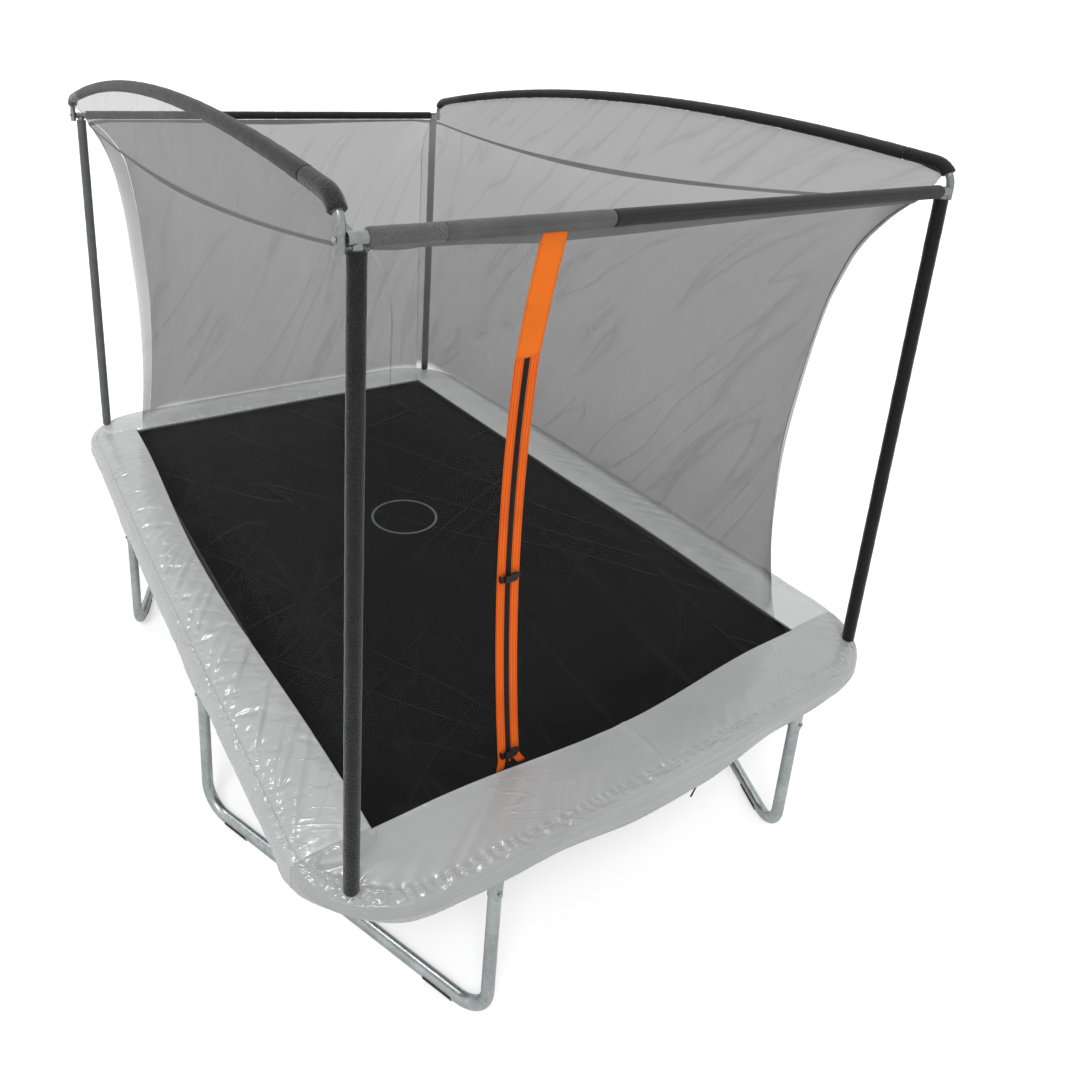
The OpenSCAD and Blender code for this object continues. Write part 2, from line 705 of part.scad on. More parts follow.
// Long sleeve of the left arch and the shorter pieces of foam at its ends
module arch_foam() {
    foam_turn = (90 - bend_angle) * 0.6;
    color([0.15, 0.15, 0.16]) arch_curve(sleeve_front, sleeve_back, foam_od, arch_foam_id);
    color([0.36, 0.36, 0.35]) {
        arch_curve(-tangent_y, sleeve_front - fit, foam_od, arch_foam_id);
        arch_bend(foam_turn, foam_od, arch_foam_id);
        arch_curve(sleeve_back + fit, tangent_y, foam_od, arch_foam_id);
        mirror([0, 1, 0]) arch_bend(foam_turn, foam_od, arch_foam_id);
    }
}

// ---------- safety net ----------

// Outline of the net at a share t of its height: half width, half length and corner radius
function net_a(t) = lookup(t, [[0, net_x], [0.3, net_x + 3], [0.55, net_x + 11],
    [0.75, net_x + 35], [0.92, net_x + 70], [1, pole_x - 12]]);
function net_r(t) = lookup(t, [[0, 120], [0.06, 190], [0.25, 290], [0.45, 345], [0.6, 340],
    [0.8, 350], [0.93, 330], [0.97, 230], [1, 120]]);

// Distance from the X axis of the front net at height z
flare = 31;                                  // extra reach of the net at the top rail
function bow_at(z) =
    let(
        up = (z - door_low) / cos(lean) - bow_z,
        arc = bow_y + bow_radius - sqrt(bow_radius * bow_radius - up * up),
        above = max(0, (z - pad_top - zip_height) / (top_rail_height - pad_top - zip_height)))
    arc + flare * above;

function net_z(t) = net_low + t * net_height;
function door_x(z) = -door_mat_offset - (z - door_low) * tan(lean);
function seam_drop(y) = seam_sag * (1 - pow(y / pole_y, 2));

net_rows = [0, 0.03, 0.1, 0.22, 0.35, 0.5, 0.65, 0.8, 0.9, 0.96, 1];
front_rows = [for (i = [0 : 20]) i / 20];    // closer, so that the bow stays true behind the zip
arc_steps = 6;
edge_angle = 44.93;                          // neighbouring nets meet just short of the diagonal

// Half of an end net, from the given start to the diagonal of the right corner, for one height
function end_row(t, start, z, cols) =
    let(a = net_a(t), r = net_r(t), b = bow_at(z))
    concat(
        [for (j = [0 : cols]) [start + (a - r - start) * j / cols, -b, z]],
        [for (j = [1 : arc_steps])
            let(angle = edge_angle * j / arc_steps)
            [a - r + r * sin(angle), -b + r - r * cos(angle), z]]);

hem_overlap = 8;                             // of the nets behind the entrance strip
door_edge = door_width / 2 - hem_overlap;

module net_front() {
    color([0.6, 0.61, 0.63]) {
        sheet([for (t = front_rows) end_row(t, door_x(net_z(t)) + door_edge, net_z(t), 3)], -net_thickness);
        mirror([1, 0, 0])
            sheet([for (t = front_rows) end_row(t, -door_x(net_z(t)) + door_edge, net_z(t), 1)], -net_thickness);
    }
}

function mirrored_row(row) = [for (j = [len(row) - 1 : -1 : 1]) [-row[j][0], row[j][1], row[j][2]]];

module net_back() {
    color([0.6, 0.61, 0.63]) mirror([0, 1, 0])
        sheet([for (t = net_rows)
            let(row = end_row(t, 0, net_z(t), 3))
            concat(mirrored_row(row), row)], -net_thickness);
}

// Quarter of a side net from the middle to the front corner, for one height
side_cols = 6;
function side_height(t, y) = net_low + t * (net_height - seam_drop(y));
function side_in(t, y) = seam_inset * pow(t, 6) * (1 - pow(y / pole_y, 2));
function side_row(t) =
    let(a = net_a(t), r = net_r(t), b = bow_at(net_z(t)))
    concat(
        [for (j = [0 : side_cols])
            let(y = (b - r) * j / side_cols)
            [-a + side_in(t, y), -y, side_height(t, y)]],
        [for (j = [1 : arc_steps])
            let(angle = edge_angle * j / arc_steps, y = b - r + r * sin(angle))
            [-a + r - r * cos(angle), -y, side_height(t, y)]]);
function mirrored_side(row) = [for (j = [len(row) - 1 : -1 : 1]) [row[j][0], -row[j][1], row[j][2]]];

// Height of the underside of the arch's foam at a distance from mid length
under_r = foam_od / 2 + fit;
function arch_under(y) = abs(y) < (arch_radius - under_r) * sin(bend_angle)
    ? arch_center_z + sqrt(pow(arch_radius - under_r, 2) - y * y)
    : bend_z + sqrt(pow(arch_bend_radius - under_r, 2) - pow(abs(y) - bend_y, 2));

// Net between the elastic seam and the arch
infill_end = bend_y + (arch_bend_radius - under_r) * 0.8;
infill_cols = 12;
seam_row = side_row(1);
seam_heights = [for (p = seam_row) [-p[1], p[2]]];
seam_sides = [for (p = seam_row) [-p[1], p[0]]];
function infill_row(s) = [for (j = [-infill_cols : infill_cols])
    let(
        y = -infill_end * sin(90 * j / infill_cols),
        low = lookup(abs(y), seam_heights) + net_thickness * (0.7 + pow(y / infill_end, 6)),
        side = lookup(abs(y), seam_sides),
        under = arch_under(y),
        high = under - fit - net_thickness * (pow(y / infill_end, 8) / 2
            + (arch_x + side) / norm([arch_x + side, under - low])))
    [side * (1 - s) - arch_x * s, y, low + (high - low) * s]];

module net_side() {
    color([0.6, 0.61, 0.63]) {
        sheet([for (t = net_rows)
            let(row = side_row(t))
            concat(mirrored_side(row), row)], -net_thickness);
        sheet([for (s = [0, 0.5, 1]) infill_row(s)], -net_thickness);
    }
}

// ---------- entrance ----------

// Frame of the leaning strip: its origin at the mat, +Z up the strip
module at_door() {
    translate([-door_mat_offset, 0, door_low]) rotate([0, -lean, 0]) children();
}

// Strip that follows the bow. off and thick are measured outwards from the face of the net.
module bow_strip(left, right, off, thick, from, to) {
    rho = bow_radius - off - thick;
    a = asin((from - bow_z) / bow_radius);
    b = asin((to - bow_z) / bow_radius);
    translate([0, -bow_y - bow_radius, bow_z]) rotate([90, 0, 90]) rotate([0, 0, a])
        rotate_extrude(angle = b - a, $fn = 720)
            translate([rho, left]) square([thick, right - left]);
}

// Moves its child, drawn at the height of the bow's middle, along the bow to the given height
module on_bow(z) {
    translate([0, -bow_y - bow_radius, bow_z])
        rotate([asin((z - bow_z) / bow_radius), 0, 0])
            translate([0, bow_radius, 0]) children();
}

module door_bands() {
    color([0.93, 0.42, 0.1]) at_door() for (side = [0, 1]) mirror([side, 0, 0])
        bow_strip(zip_width / 2 + fit, door_width / 2, 2 * fit, band_t, 2, zip_top);
}

module zip_tape() {
    color([0.12, 0.1, 0.1]) at_door() {
        bow_strip(-zip_width / 2, zip_width / 2, fit, band_t / 2, 10, zip_top);
        bow_strip(-chain_w / 2, chain_w / 2, 0, chain_t, 10, zip_top - 6);
    }
}

// Solid fabric above the zip, from the end of the zip to the top rail
module door_panel() {
    low_z = door_low + (zip_top + fit) * cos(lean);
    high_z = top_rail_height - foam_od / 2 - fit;
    rows = 6;
    color([0.93, 0.42, 0.1])
        sheet([for (i = [0 : rows])
            let(z = low_z + (high_z - low_z) * i / rows)
            [for (side = [-1, 0, 1])
                [door_x(z) + side * door_width / 2, -bow_at(z) - 2 * fit,
                    z + side * door_width / 2 * tan(lean) * (1 - i / rows)]]], band_t);
}

// Two plates that hold the teeth between them, with the lugs and pin of the pull
module zip_slider() {
    front = -chain_t - fit;
    color([0.8, 0.62, 0.3]) at_door() on_bow(slider_z) {
        translate([-slider_w / 2, front - 1.8, -slider_h / 2]) cube([slider_w, 1.8, slider_h]);
        translate([-slider_w / 2, fit, -slider_h / 2]) cube([slider_w, 1.4, slider_h]);
        for (side = [-1, 1])
            translate([side * 3.2 - 0.7, -pin_off - 1.6, 1]) cube([1.4, pin_off + 1.6 + front, 4]);
        translate([-3.4, -pin_off, 3]) rotate([0, 90, 0]) cylinder(r = pin_r, h = 6.8);
    }
}

pull_length = 18;

module zip_pull() {
    color([0.8, 0.62, 0.3]) at_door() on_bow(slider_z) translate([0, -pin_off, 3]) difference() {
        union() {
            translate([-2.3, 0, 0]) rotate([0, 90, 0]) cylinder(r = pin_r + 0.8, h = 4.6);
            translate([-2.3, -0.8, -8]) cube([4.6, 1.6, 8]);
            translate([-3.5, -0.8, -pull_length]) cube([7, 1.6, 11]);
        }
        translate([-3, 0, 0]) rotate([0, 90, 0]) cylinder(r = pin_r + run, h = 6);
        translate([0, 2, -pull_length + 5]) rotate([90, 0, 0]) cylinder(r = 1.8, h = 4);
    }
}

function buckle_z(h) = (pad_top + h - door_low) / cos(lean);
prong_w = 5;
prong_reach = 20;
throat_h = 18;

// Female half, on the left band: a flat case open towards the right, and the loop that is sewn on
module buckle_socket() {
    translate([-buckle_w / 2, -buckle_off - buckle_t, -buckle_h / 2]) difference() {
        cube([buckle_w * 0.62, buckle_t, buckle_h]);
        translate([5, 2.5, (buckle_h - throat_h) / 2]) cube([buckle_w, buckle_t - 5, throat_h]);
        for (low = [-end_clip, buckle_h - 4]) translate([8, 1.2, low]) cube([10, buckle_t - 2.4, 4 + end_clip]);
    }
    translate([-door_width / 2 + 6, -buckle_off - 4, -buckle_h / 2 + 2]) cube([door_width / 2 - 6 - buckle_w / 2, 3, buckle_h - 4]);
    translate([-door_width / 2 + 6, -buckle_off - 1, -buckle_h / 2 + 2]) cube([3, buckle_off + 1 - band_t - 2 * fit, buckle_h - 4]);
}

// Male half: base bar, centre guide, two side prongs and the loop of its own strap
module buckle_clip() {
    neck = buckle_w * 0.62 - buckle_w / 2 + clip_fit;
    mid = -buckle_off - buckle_t / 2;
    thick = buckle_t - 5 - 2 * clip_fit;
    translate([neck, -buckle_off - buckle_t, -buckle_h / 2]) cube([buckle_w / 2 - neck, buckle_t, buckle_h]);
    for (z = [-throat_h / 2 + clip_fit, -1.5, throat_h / 2 - clip_fit - 3])
        translate([neck - prong_reach, mid - thick / 2, z]) cube([prong_reach + 1, thick, 3]);
    translate([buckle_w / 2 - 1, -buckle_off - 4, -buckle_h / 2 + 2])
        cube([door_width / 2 - 6 - buckle_w / 2 + 1, 3, buckle_h - 4]);
}

module buckle_sockets() {
    color([0.08, 0.08, 0.09]) at_door() for (h = [buckle_lower, buckle_upper])
        on_bow(buckle_z(h)) buckle_socket();
}

module placed_clip(h) {
    color([0.08, 0.08, 0.09]) at_door() on_bow(buckle_z(h)) buckle_clip();
}

echo(lean = lean, bow_center = [door_mat_offset, bow_y + bow_radius, bow_z], pole = [pole_x, pole_y],
    pad = [pad_x, pad_y, pad_top], mat = [mat_x, mat_y, mat_top], springs = [side_springs, end_springs],
    overall = [arch_top + foam_od / 2]);

end_rail();  // rail_front
mirror([0, 1, 0]) end_rail();  // rail_back
side_rail();  // rail_left
mirror([1, 0, 0]) side_rail();  // rail_right
at_corner(CORNERS[0]) corner_tube();  // corner_front_left
at_corner(CORNERS[1]) corner_tube();  // corner_front_right
at_corner(CORNERS[2]) corner_tube();  // corner_back_left
at_corner(CORNERS[3]) corner_tube();  // corner_back_right
at_corner(CORNERS[0]) leg_posts();  // leg_posts_front_left
at_corner(CORNERS[1]) leg_posts();  // leg_posts_front_right
at_corner(CORNERS[2]) leg_posts();  // leg_posts_back_left
at_corner(CORNERS[3]) leg_posts();  // leg_posts_back_right
at_corner(CORNERS[0]) leg_base();  // leg_base_front_left
at_corner(CORNERS[1]) leg_base();  // leg_base_front_right
at_corner(CORNERS[2]) leg_base();  // leg_base_back_left
at_corner(CORNERS[3]) leg_base();  // leg_base_back_right
foot_clips();
frame_bolts();
springs();
mat_rings();
mat();
end_pad();  // pad_front
mirror([0, 1, 0]) end_pad();  // pad_back
side_pad();  // pad_left
mirror([1, 0, 0]) side_pad();  // pad_right
pad_tie();
at_corner(CORNERS[0]) pole();  // pole_front_left
at_corner(CORNERS[1]) pole();  // pole_front_right
at_corner(CORNERS[2]) pole();  // pole_back_left
at_corner(CORNERS[3]) pole();  // pole_back_right
at_corner(CORNERS[0]) pole_foam([0.25, 0.25, 0.26]);  // pole_foam_front_left
at_corner(CORNERS[1]) pole_foam([0.12, 0.12, 0.12]);  // pole_foam_front_right
at_corner(CORNERS[2]) pole_foam([0.42, 0.43, 0.42]);  // pole_foam_back_left
at_corner(CORNERS[3]) pole_foam([0.25, 0.25, 0.26]);  // pole_foam_back_right
at_corner(CORNERS[0]) tee();  // tee_front_left
at_corner(CORNERS[1]) tee();  // tee_front_right
at_corner(CORNERS[2]) tee();  // tee_back_left
at_corner(CORNERS[3]) tee();  // tee_back_right
top_rail();  // top_rail_front
mirror([0, 1, 0]) top_rail();  // top_rail_back
top_rail_foam();
arch();  // arch_left
mirror([1, 0, 0]) arch();  // arch_right
arch_foam();  // arch_foam_left
mirror([1, 0, 0]) arch_foam();  // arch_foam_right
net_front();
net_back();
net_side();  // net_left
mirror([1, 0, 0]) net_side();  // net_right
door_panel();
door_bands();
zip_tape();
zip_slider();
zip_pull();
buckle_sockets();
placed_clip(buckle_upper);  // buckle_clip_upper
placed_clip(buckle_lower);  // buckle_clip_lower
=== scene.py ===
# Rectangular garden trampoline with a safety net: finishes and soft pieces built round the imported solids.
# Metres, X across the width, Y along the length, Z up. The entrance faces -Y.
import math
import bmesh
import bpy
import numpy as np
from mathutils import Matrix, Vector, noise


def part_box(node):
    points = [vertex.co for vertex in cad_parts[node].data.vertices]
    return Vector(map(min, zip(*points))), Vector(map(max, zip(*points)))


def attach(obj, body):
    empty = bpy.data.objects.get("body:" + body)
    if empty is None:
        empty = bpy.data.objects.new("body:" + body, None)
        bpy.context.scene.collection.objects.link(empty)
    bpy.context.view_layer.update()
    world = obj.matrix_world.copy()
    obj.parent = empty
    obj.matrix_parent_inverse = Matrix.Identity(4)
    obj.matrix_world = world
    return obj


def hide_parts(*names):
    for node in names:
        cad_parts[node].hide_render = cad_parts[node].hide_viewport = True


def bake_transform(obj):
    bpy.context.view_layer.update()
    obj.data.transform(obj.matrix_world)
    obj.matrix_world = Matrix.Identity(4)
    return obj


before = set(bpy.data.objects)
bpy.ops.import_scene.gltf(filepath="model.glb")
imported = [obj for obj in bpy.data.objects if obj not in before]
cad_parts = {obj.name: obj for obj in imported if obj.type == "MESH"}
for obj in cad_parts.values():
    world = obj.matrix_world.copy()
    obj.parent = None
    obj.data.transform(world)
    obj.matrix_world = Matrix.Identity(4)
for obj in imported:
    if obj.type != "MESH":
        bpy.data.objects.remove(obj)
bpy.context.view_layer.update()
scene = bpy.context.scene
print("frame loaded:", len(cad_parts), "nodes")


# ---- shared helpers ----

def addObject(name, mesh):
    made = bpy.data.objects.new(name, mesh)
    scene.collection.objects.link(made)
    return made


def meshObject(name, points, faces, finish, closed=False, uvs=None):
    mesh = bpy.data.meshes.new(name)
    mesh.from_pydata([tuple(map(float, p)) for p in points], [], [tuple(map(int, f)) for f in faces])
    if uvs is not None:
        layer = mesh.uv_layers.new(name="UVMap")
        corners = np.zeros(len(mesh.loops), np.int32)
        mesh.loops.foreach_get("vertex_index", corners)
        layer.data.foreach_set("uv", np.asarray(uvs, np.float32)[corners].ravel())
    if closed:
        shell = bmesh.new()
        shell.from_mesh(mesh)
        bmesh.ops.recalc_face_normals(shell, faces=shell.faces)
        shell.to_mesh(mesh)
        shell.free()
    mesh.shade_smooth()
    made = addObject(name, mesh)
    mesh.materials.append(finish)
    return made


def reachOf(line):
    # distance along a line of points, at each of them
    return np.concatenate([[0], np.cumsum(np.linalg.norm(np.diff(line, axis=0), axis=1))])


def rowsAt(at, reach, rows):
    return np.stack([np.interp(at, reach, rows[:, k]) for k in range(3)], axis=1)


def uvPairs(u, v):
    return np.stack(np.broadcast_arrays(u[None, :], v[:, None]), axis=2).reshape(-1, 2)


def gridUvs(grid):
    # metres along the columns and along the rows, so a weave keeps its scale
    rows, cols = grid.shape[:2]
    return uvPairs(reachOf(grid[rows // 2]), reachOf(grid[:, cols // 2]))


def gridFaces(rows, cols, wrapRows=False, wrapCols=False):
    faces = []
    for i in range(rows if wrapRows else rows - 1):
        for j in range(cols if wrapCols else cols - 1):
            nextRow, nextCol = (i + 1) % rows, (j + 1) % cols
            faces.append((i * cols + j, i * cols + nextCol, nextRow * cols + nextCol, nextRow * cols + j))
    return faces


def gridObject(name, grid, finish):
    rows, cols = grid.shape[:2]
    return meshObject(name, grid.reshape(-1, 3), gridFaces(rows, cols), finish, uvs=gridUvs(grid))


def doubleObject(name, skin, inside, finish, uvs=None):
    # closed solid between two grids of the same size
    rows, cols = skin.shape[:2]
    count = rows * cols
    faces = gridFaces(rows, cols) + [tuple(v + count for v in face[::-1]) for face in gridFaces(rows, cols)]
    rim = [(0, j) for j in range(cols)] + [(i, cols - 1) for i in range(1, rows)] \
        + [(rows - 1, j) for j in range(cols - 2, -1, -1)] + [(i, 0) for i in range(rows - 2, 0, -1)]
    ring = [i * cols + j for i, j in rim]
    faces += [(a, a + count, b + count, b) for a, b in zip(ring, ring[1:] + ring[:1])]
    return meshObject(name, np.concatenate([skin.reshape(-1, 3), inside.reshape(-1, 3)]), faces, finish, closed=True,
                      uvs=np.tile(gridUvs(skin) if uvs is None else uvs, (2, 1)))


def gridNormals(grid):
    along = np.gradient(grid, axis=1)
    up = np.gradient(grid, axis=0)
    normals = np.cross(along, up)
    return normals / np.maximum(np.linalg.norm(normals, axis=2, keepdims=True), 1e-12)


def mirrorGrid(grid):
    flipped = grid[:, ::-1].copy()
    flipped[..., 0] *= -1
    return flipped


def wave(points, scale, seed=0.0):
    # smooth noise from about -1 to 1 at each point; scale may stretch it along an axis
    scaled = np.asarray(points, float).reshape(-1, 3) * np.asarray(scale, float) + seed
    return np.array([noise.noise(Vector(p)) for p in scaled]).reshape(np.asarray(points).shape[:-1])


def smoothStep(value, low, high):
    t = np.clip((value - low) / (high - low), 0, 1)
    return t * t * (3 - 2 * t)


# ---- shader helpers ----

def makeNode(tree, kind, values=None, **settings):
    # values are plain ones or sockets to link from, by the input's name or number
    made = tree.nodes.new(kind)
    for key, value in settings.items():
        setattr(made, key, value)
    for key, value in (values or {}).items():
        if isinstance(value, bpy.types.NodeSocket):
            tree.links.new(value, made.inputs[key])
        else:
            made.inputs[key].default_value = value
    return made


def addNode(tree, kind, values=None, **settings):
    return makeNode(tree, "ShaderNode" + kind, values, **settings)


def newFinish(name, **sockets):
    made = bpy.data.materials.new(name)
    made.use_nodes = True
    shader = made.node_tree.nodes["Principled BSDF"]
    for key, value in sockets.items():
        shader.inputs[key].default_value = value
    return made, made.node_tree, shader


def placeOf(tree, source="Object", scale=(1, 1, 1), turn=0.0, shift=(0, 0, 0)):
    # a turned place is turned first and scaled after, so a stretched pattern lies at that angle
    place = addNode(tree, "TexCoord")
    mapping = addNode(tree, "Mapping", {"Vector": place.outputs[source], "Scale": scale, "Location": shift})
    if turn:
        mapping.vector_type = "TEXTURE"
        mapping.inputs["Scale"].default_value = [1 / s for s in scale]
        mapping.inputs["Rotation"].default_value = (0, 0, turn)
    return mapping.outputs["Vector"]


def colourRamp(tree, value, stops):
    ramp = addNode(tree, "ValToRGB", {"Fac": value})
    elements = ramp.color_ramp.elements
    for index, (at, colour) in enumerate(stops):
        spot = elements[index] if index < 2 else elements.new(at)
        spot.position = at
        spot.color = (*colour, 1)
    return ramp.outputs["Color"]


def mathNode(tree, operation, a, b=0.0):
    return addNode(tree, "Math", {0: a, 1: b}, operation=operation).outputs[0]


def weighed(tree, first, firstShare, second, secondShare):
    return mathNode(tree, "ADD", mathNode(tree, "MULTIPLY", first, firstShare),
                    mathNode(tree, "MULTIPLY", second, secondShare))


def noiseOf(tree, place, scale, detail, roughness=0.5, distortion=0.0):
    return addNode(tree, "TexNoise", {"Vector": place, "Scale": scale, "Detail": detail, "Roughness": roughness,
                                      "Distortion": distortion}).outputs["Fac"]


def ridgeOf(tree, field, width):
    # a soft line wherever a noise passes its middle value
    away = mathNode(tree, "ABSOLUTE", mathNode(tree, "SUBTRACT", field, 0.5))
    return rangeTo(tree, away, 1.0, 0.0, end=width, smooth=True)


def setBump(tree, shader, height, strength, distance, under=None):
    bump = addNode(tree, "Bump", {"Height": height, "Strength": strength, "Distance": distance})
    if under is not None:
        tree.links.new(under, bump.inputs["Normal"])
    if shader is not None:
        tree.links.new(bump.outputs["Normal"], shader.inputs["Normal"])
    return bump.outputs["Normal"]


def tint(colour, share):
    return tuple(min(1.0, c * share) for c in colour)


def rangeTo(tree, value, low, high, start=0.0, end=1.0, smooth=False):
    kind = "SMOOTHSTEP" if smooth else "LINEAR"
    return addNode(tree, "MapRange", {"Value": value, "From Min": start, "From Max": end, "To Min": low,
                                      "To Max": high}, interpolation_type=kind).outputs["Result"]


# ---- finishes ----

def steelFinish(name, colour, roughness, spangle, streak):
    # zinc on tube: patches of crystal, faint drawing streaks and dull spots
    made, tree, shader = newFinish(name, Metallic=0.9)
    place = placeOf(tree)
    crystals = addNode(tree, "TexVoronoi", {"Vector": place, "Scale": spangle}, distance="EUCLIDEAN")
    cloud = noiseOf(tree, place, 9.0, 5.0, roughness=0.6)
    lines = noiseOf(tree, placeOf(tree, scale=streak), 1.0, 3.0)
    shade = weighed(tree, crystals.outputs["Color"], 0.22, cloud, 0.78)
    base = colourRamp(tree, shade, [(0.25, tint(colour, 0.72)), (0.75, tint(colour, 1.28)), (0.5, colour)])
    tree.links.new(base, shader.inputs["Base Color"])
    tree.links.new(rangeTo(tree, lines, roughness - 0.1, roughness + 0.14), shader.inputs["Roughness"])
    setBump(tree, shader, lines, 0.25, 0.0006)
    return made


def foamFinish(name, colour, contrast=1.0, speckle=0.72, sheen=0.5):
    # closed-cell foam in a thin skin: pitted grain, cloudy scuffs
    made, tree, shader = newFinish(name, **{"Sheen Weight": sheen, "Sheen Roughness": 0.35,
                                            "Specular IOR Level": 0.22})
    place = placeOf(tree)
    cells = addNode(tree, "TexVoronoi", {"Vector": place, "Scale": 210.0})
    grain = noiseOf(tree, place, 190.0, 4.0, roughness=0.75)
    scuffs = noiseOf(tree, place, 14.0, 5.0, roughness=0.65)
    shade = weighed(tree, grain, speckle, scuffs, 1 - speckle)
    dark, pale = tint(colour, 1 - 0.6 * contrast), tint(colour, 1 + 1.6 * contrast)
    base = colourRamp(tree, shade, [(0.36, dark), (0.64, pale), (0.5, colour)])
    tree.links.new(base, shader.inputs["Base Color"])
    tree.links.new(rangeTo(tree, scuffs, 0.55, 0.85), shader.inputs["Roughness"])
    soft = setBump(tree, None, cells.outputs["Distance"], 0.7, 0.0022)
    setBump(tree, shader, grain, 0.45, 0.0025, under=soft)
    return made


def sleeveFinish(name, colour):
    # fabric sleeve over the foam: fine weave with soft creases round the tube
    made, tree, shader = newFinish(name, **{"Sheen Weight": 0.14, "Sheen Roughness": 0.4, "Specular IOR Level": 0.3})
    place = placeOf(tree)
    threads = noiseOf(tree, placeOf(tree, "UV", (420.0, 420.0, 1.0)), 1.0, 2.0)
    folds = noiseOf(tree, placeOf(tree, "UV", (34.0, 9.0, 1.0)), 1.0, 4.0)
    dust = noiseOf(tree, place, 11.0, 5.0, roughness=0.6)
    shade = weighed(tree, threads, 0.45, dust, 0.55)
    base = colourRamp(tree, shade, [(0.3, tint(colour, 0.65)), (0.72, tint(colour, 1.5)), (0.5, colour)])
    tree.links.new(base, shader.inputs["Base Color"])
    tree.links.new(rangeTo(tree, dust, 0.5, 0.75), shader.inputs["Roughness"])
    soft = setBump(tree, None, folds, 0.55, 0.006)
    setBump(tree, shader, threads, 0.4, 0.0008, under=soft)
    return made


def vinylFinish(name, colour):
    # coated cover of the pads: glossy, with a pressed grain, sharp little creases and rubbed patches
    made, tree, shader = newFinish(name, **{"Specular IOR Level": 0.5, "Coat Weight": 0.4, "Coat Roughness": 0.13})
    place = placeOf(tree)
    grain = addNode(tree, "TexVoronoi", {"Vector": place, "Scale": 700.0})
    rubbed = noiseOf(tree, place, 5.0, 6.0, roughness=0.6)
    patches = noiseOf(tree, place, 2.3, 2.0)
    creases = []
    for turn, stretched in ((0.72, (2.6, 13.0, 5.0)), (-0.45, (3.6, 17.0, 5.0))):
        field = noiseOf(tree, placeOf(tree, scale=stretched, turn=turn), 1.0, 1.5, distortion=0.35)
        creases.append(ridgeOf(tree, field, 0.045))
    spread = rangeTo(tree, patches, 0.0, 1.0, 0.46, 0.66, smooth=True)
    crease = mathNode(tree, "MULTIPLY", mathNode(tree, "MAXIMUM", creases[0], creases[1]), spread)
    base = colourRamp(tree, rubbed,
                      [(0.3, tint(colour, 0.94)), (0.7, tint(colour, 1.05)), (0.5, colour)])
    tree.links.new(base, shader.inputs["Base Color"])
    tree.links.new(rangeTo(tree, rubbed, 0.24, 0.38), shader.inputs["Roughness"])
    soft = setBump(tree, None, crease, 0.4, 0.0026)
    setBump(tree, shader, grain.outputs["Distance"], 0.12, 0.0004, under=soft)
    tree.links.new(soft, shader.inputs["Coat Normal"])
    return made


def netFinish(name, colour, cover, cornerCover, openTo=0.84, lowCover=0.28, folded=0.05, foldTurn=0.78,
              threadPitch=0.0042):
    # fine knitted mesh: closer where two widths overlap at a corner, wide open in the strip above the pads
    made, tree, shader = newFinish(name, Roughness=0.8, **{"Specular IOR Level": 0.15})
    knit = placeOf(tree, "UV", (1 / threadPitch, 1 / threadPitch, 1.0))
    across, upward = (addNode(tree, "TexWave", {"Vector": knit, "Scale": 0.31, "Distortion": 0.6, "Detail": 1.0},
                              bands_direction=way).outputs["Fac"] for way in ("X", "Y"))
    strands = mathNode(tree, "MAXIMUM", across, upward)
    stretch = noiseOf(tree, placeOf(tree, "UV", (3.0, 0.9, 1.0)), 1.0, 3.0)
    folds = noiseOf(tree, placeOf(tree, "UV", (0.6, 4.6, 1.0), foldTurn), 1.0, 2.0, distortion=0.3)
    offMiddle = mathNode(tree, "MULTIPLY", mathNode(tree, "SUBTRACT", folds, 0.5), 9.0)
    crease = mathNode(tree, "POWER", mathNode(tree, "SUBTRACT", 1.0, mathNode(tree, "ABSOLUTE", offMiddle)), 9.0)
    where = addNode(tree, "SeparateXYZ", {"Vector": placeOf(tree)})
    atSide = rangeTo(tree, mathNode(tree, "ABSOLUTE", where.outputs["X"]), 0.0, 1.0, 0.70, 0.93, smooth=True)
    atEnd = rangeTo(tree, mathNode(tree, "ABSOLUTE", where.outputs["Y"]), 0.0, 1.0, 1.25, 1.52, smooth=True)
    low = rangeTo(tree, where.outputs["Z"], lowCover, 1.0, openTo - 0.05, openTo)
    # the front left corner is of a single width
    entrance = mathNode(tree, "GREATER_THAN", mathNode(tree, "ADD", where.outputs["X"], where.outputs["Y"]), -1.6)
    corner = mathNode(tree, "MULTIPLY", mathNode(tree, "MULTIPLY", atSide, atEnd), entrance)
    share = rangeTo(tree, corner, cover, cornerCover)
    knitted = mathNode(tree, "ADD", mathNode(tree, "MULTIPLY", strands, 0.10),
                       weighed(tree, stretch, 0.07, mathNode(tree, "MAXIMUM", crease, 0.0), folded))
    shown = mathNode(tree, "MULTIPLY", mathNode(tree, "ADD", mathNode(tree, "ADD", knitted, share), -0.11), low)
    tree.links.new(shown, shader.inputs["Alpha"])
    base = colourRamp(tree, stretch, [(0.3, tint(colour, 0.92)), (0.7, tint(colour, 1.08))])
    tree.links.new(base, shader.inputs["Base Color"])
    return made


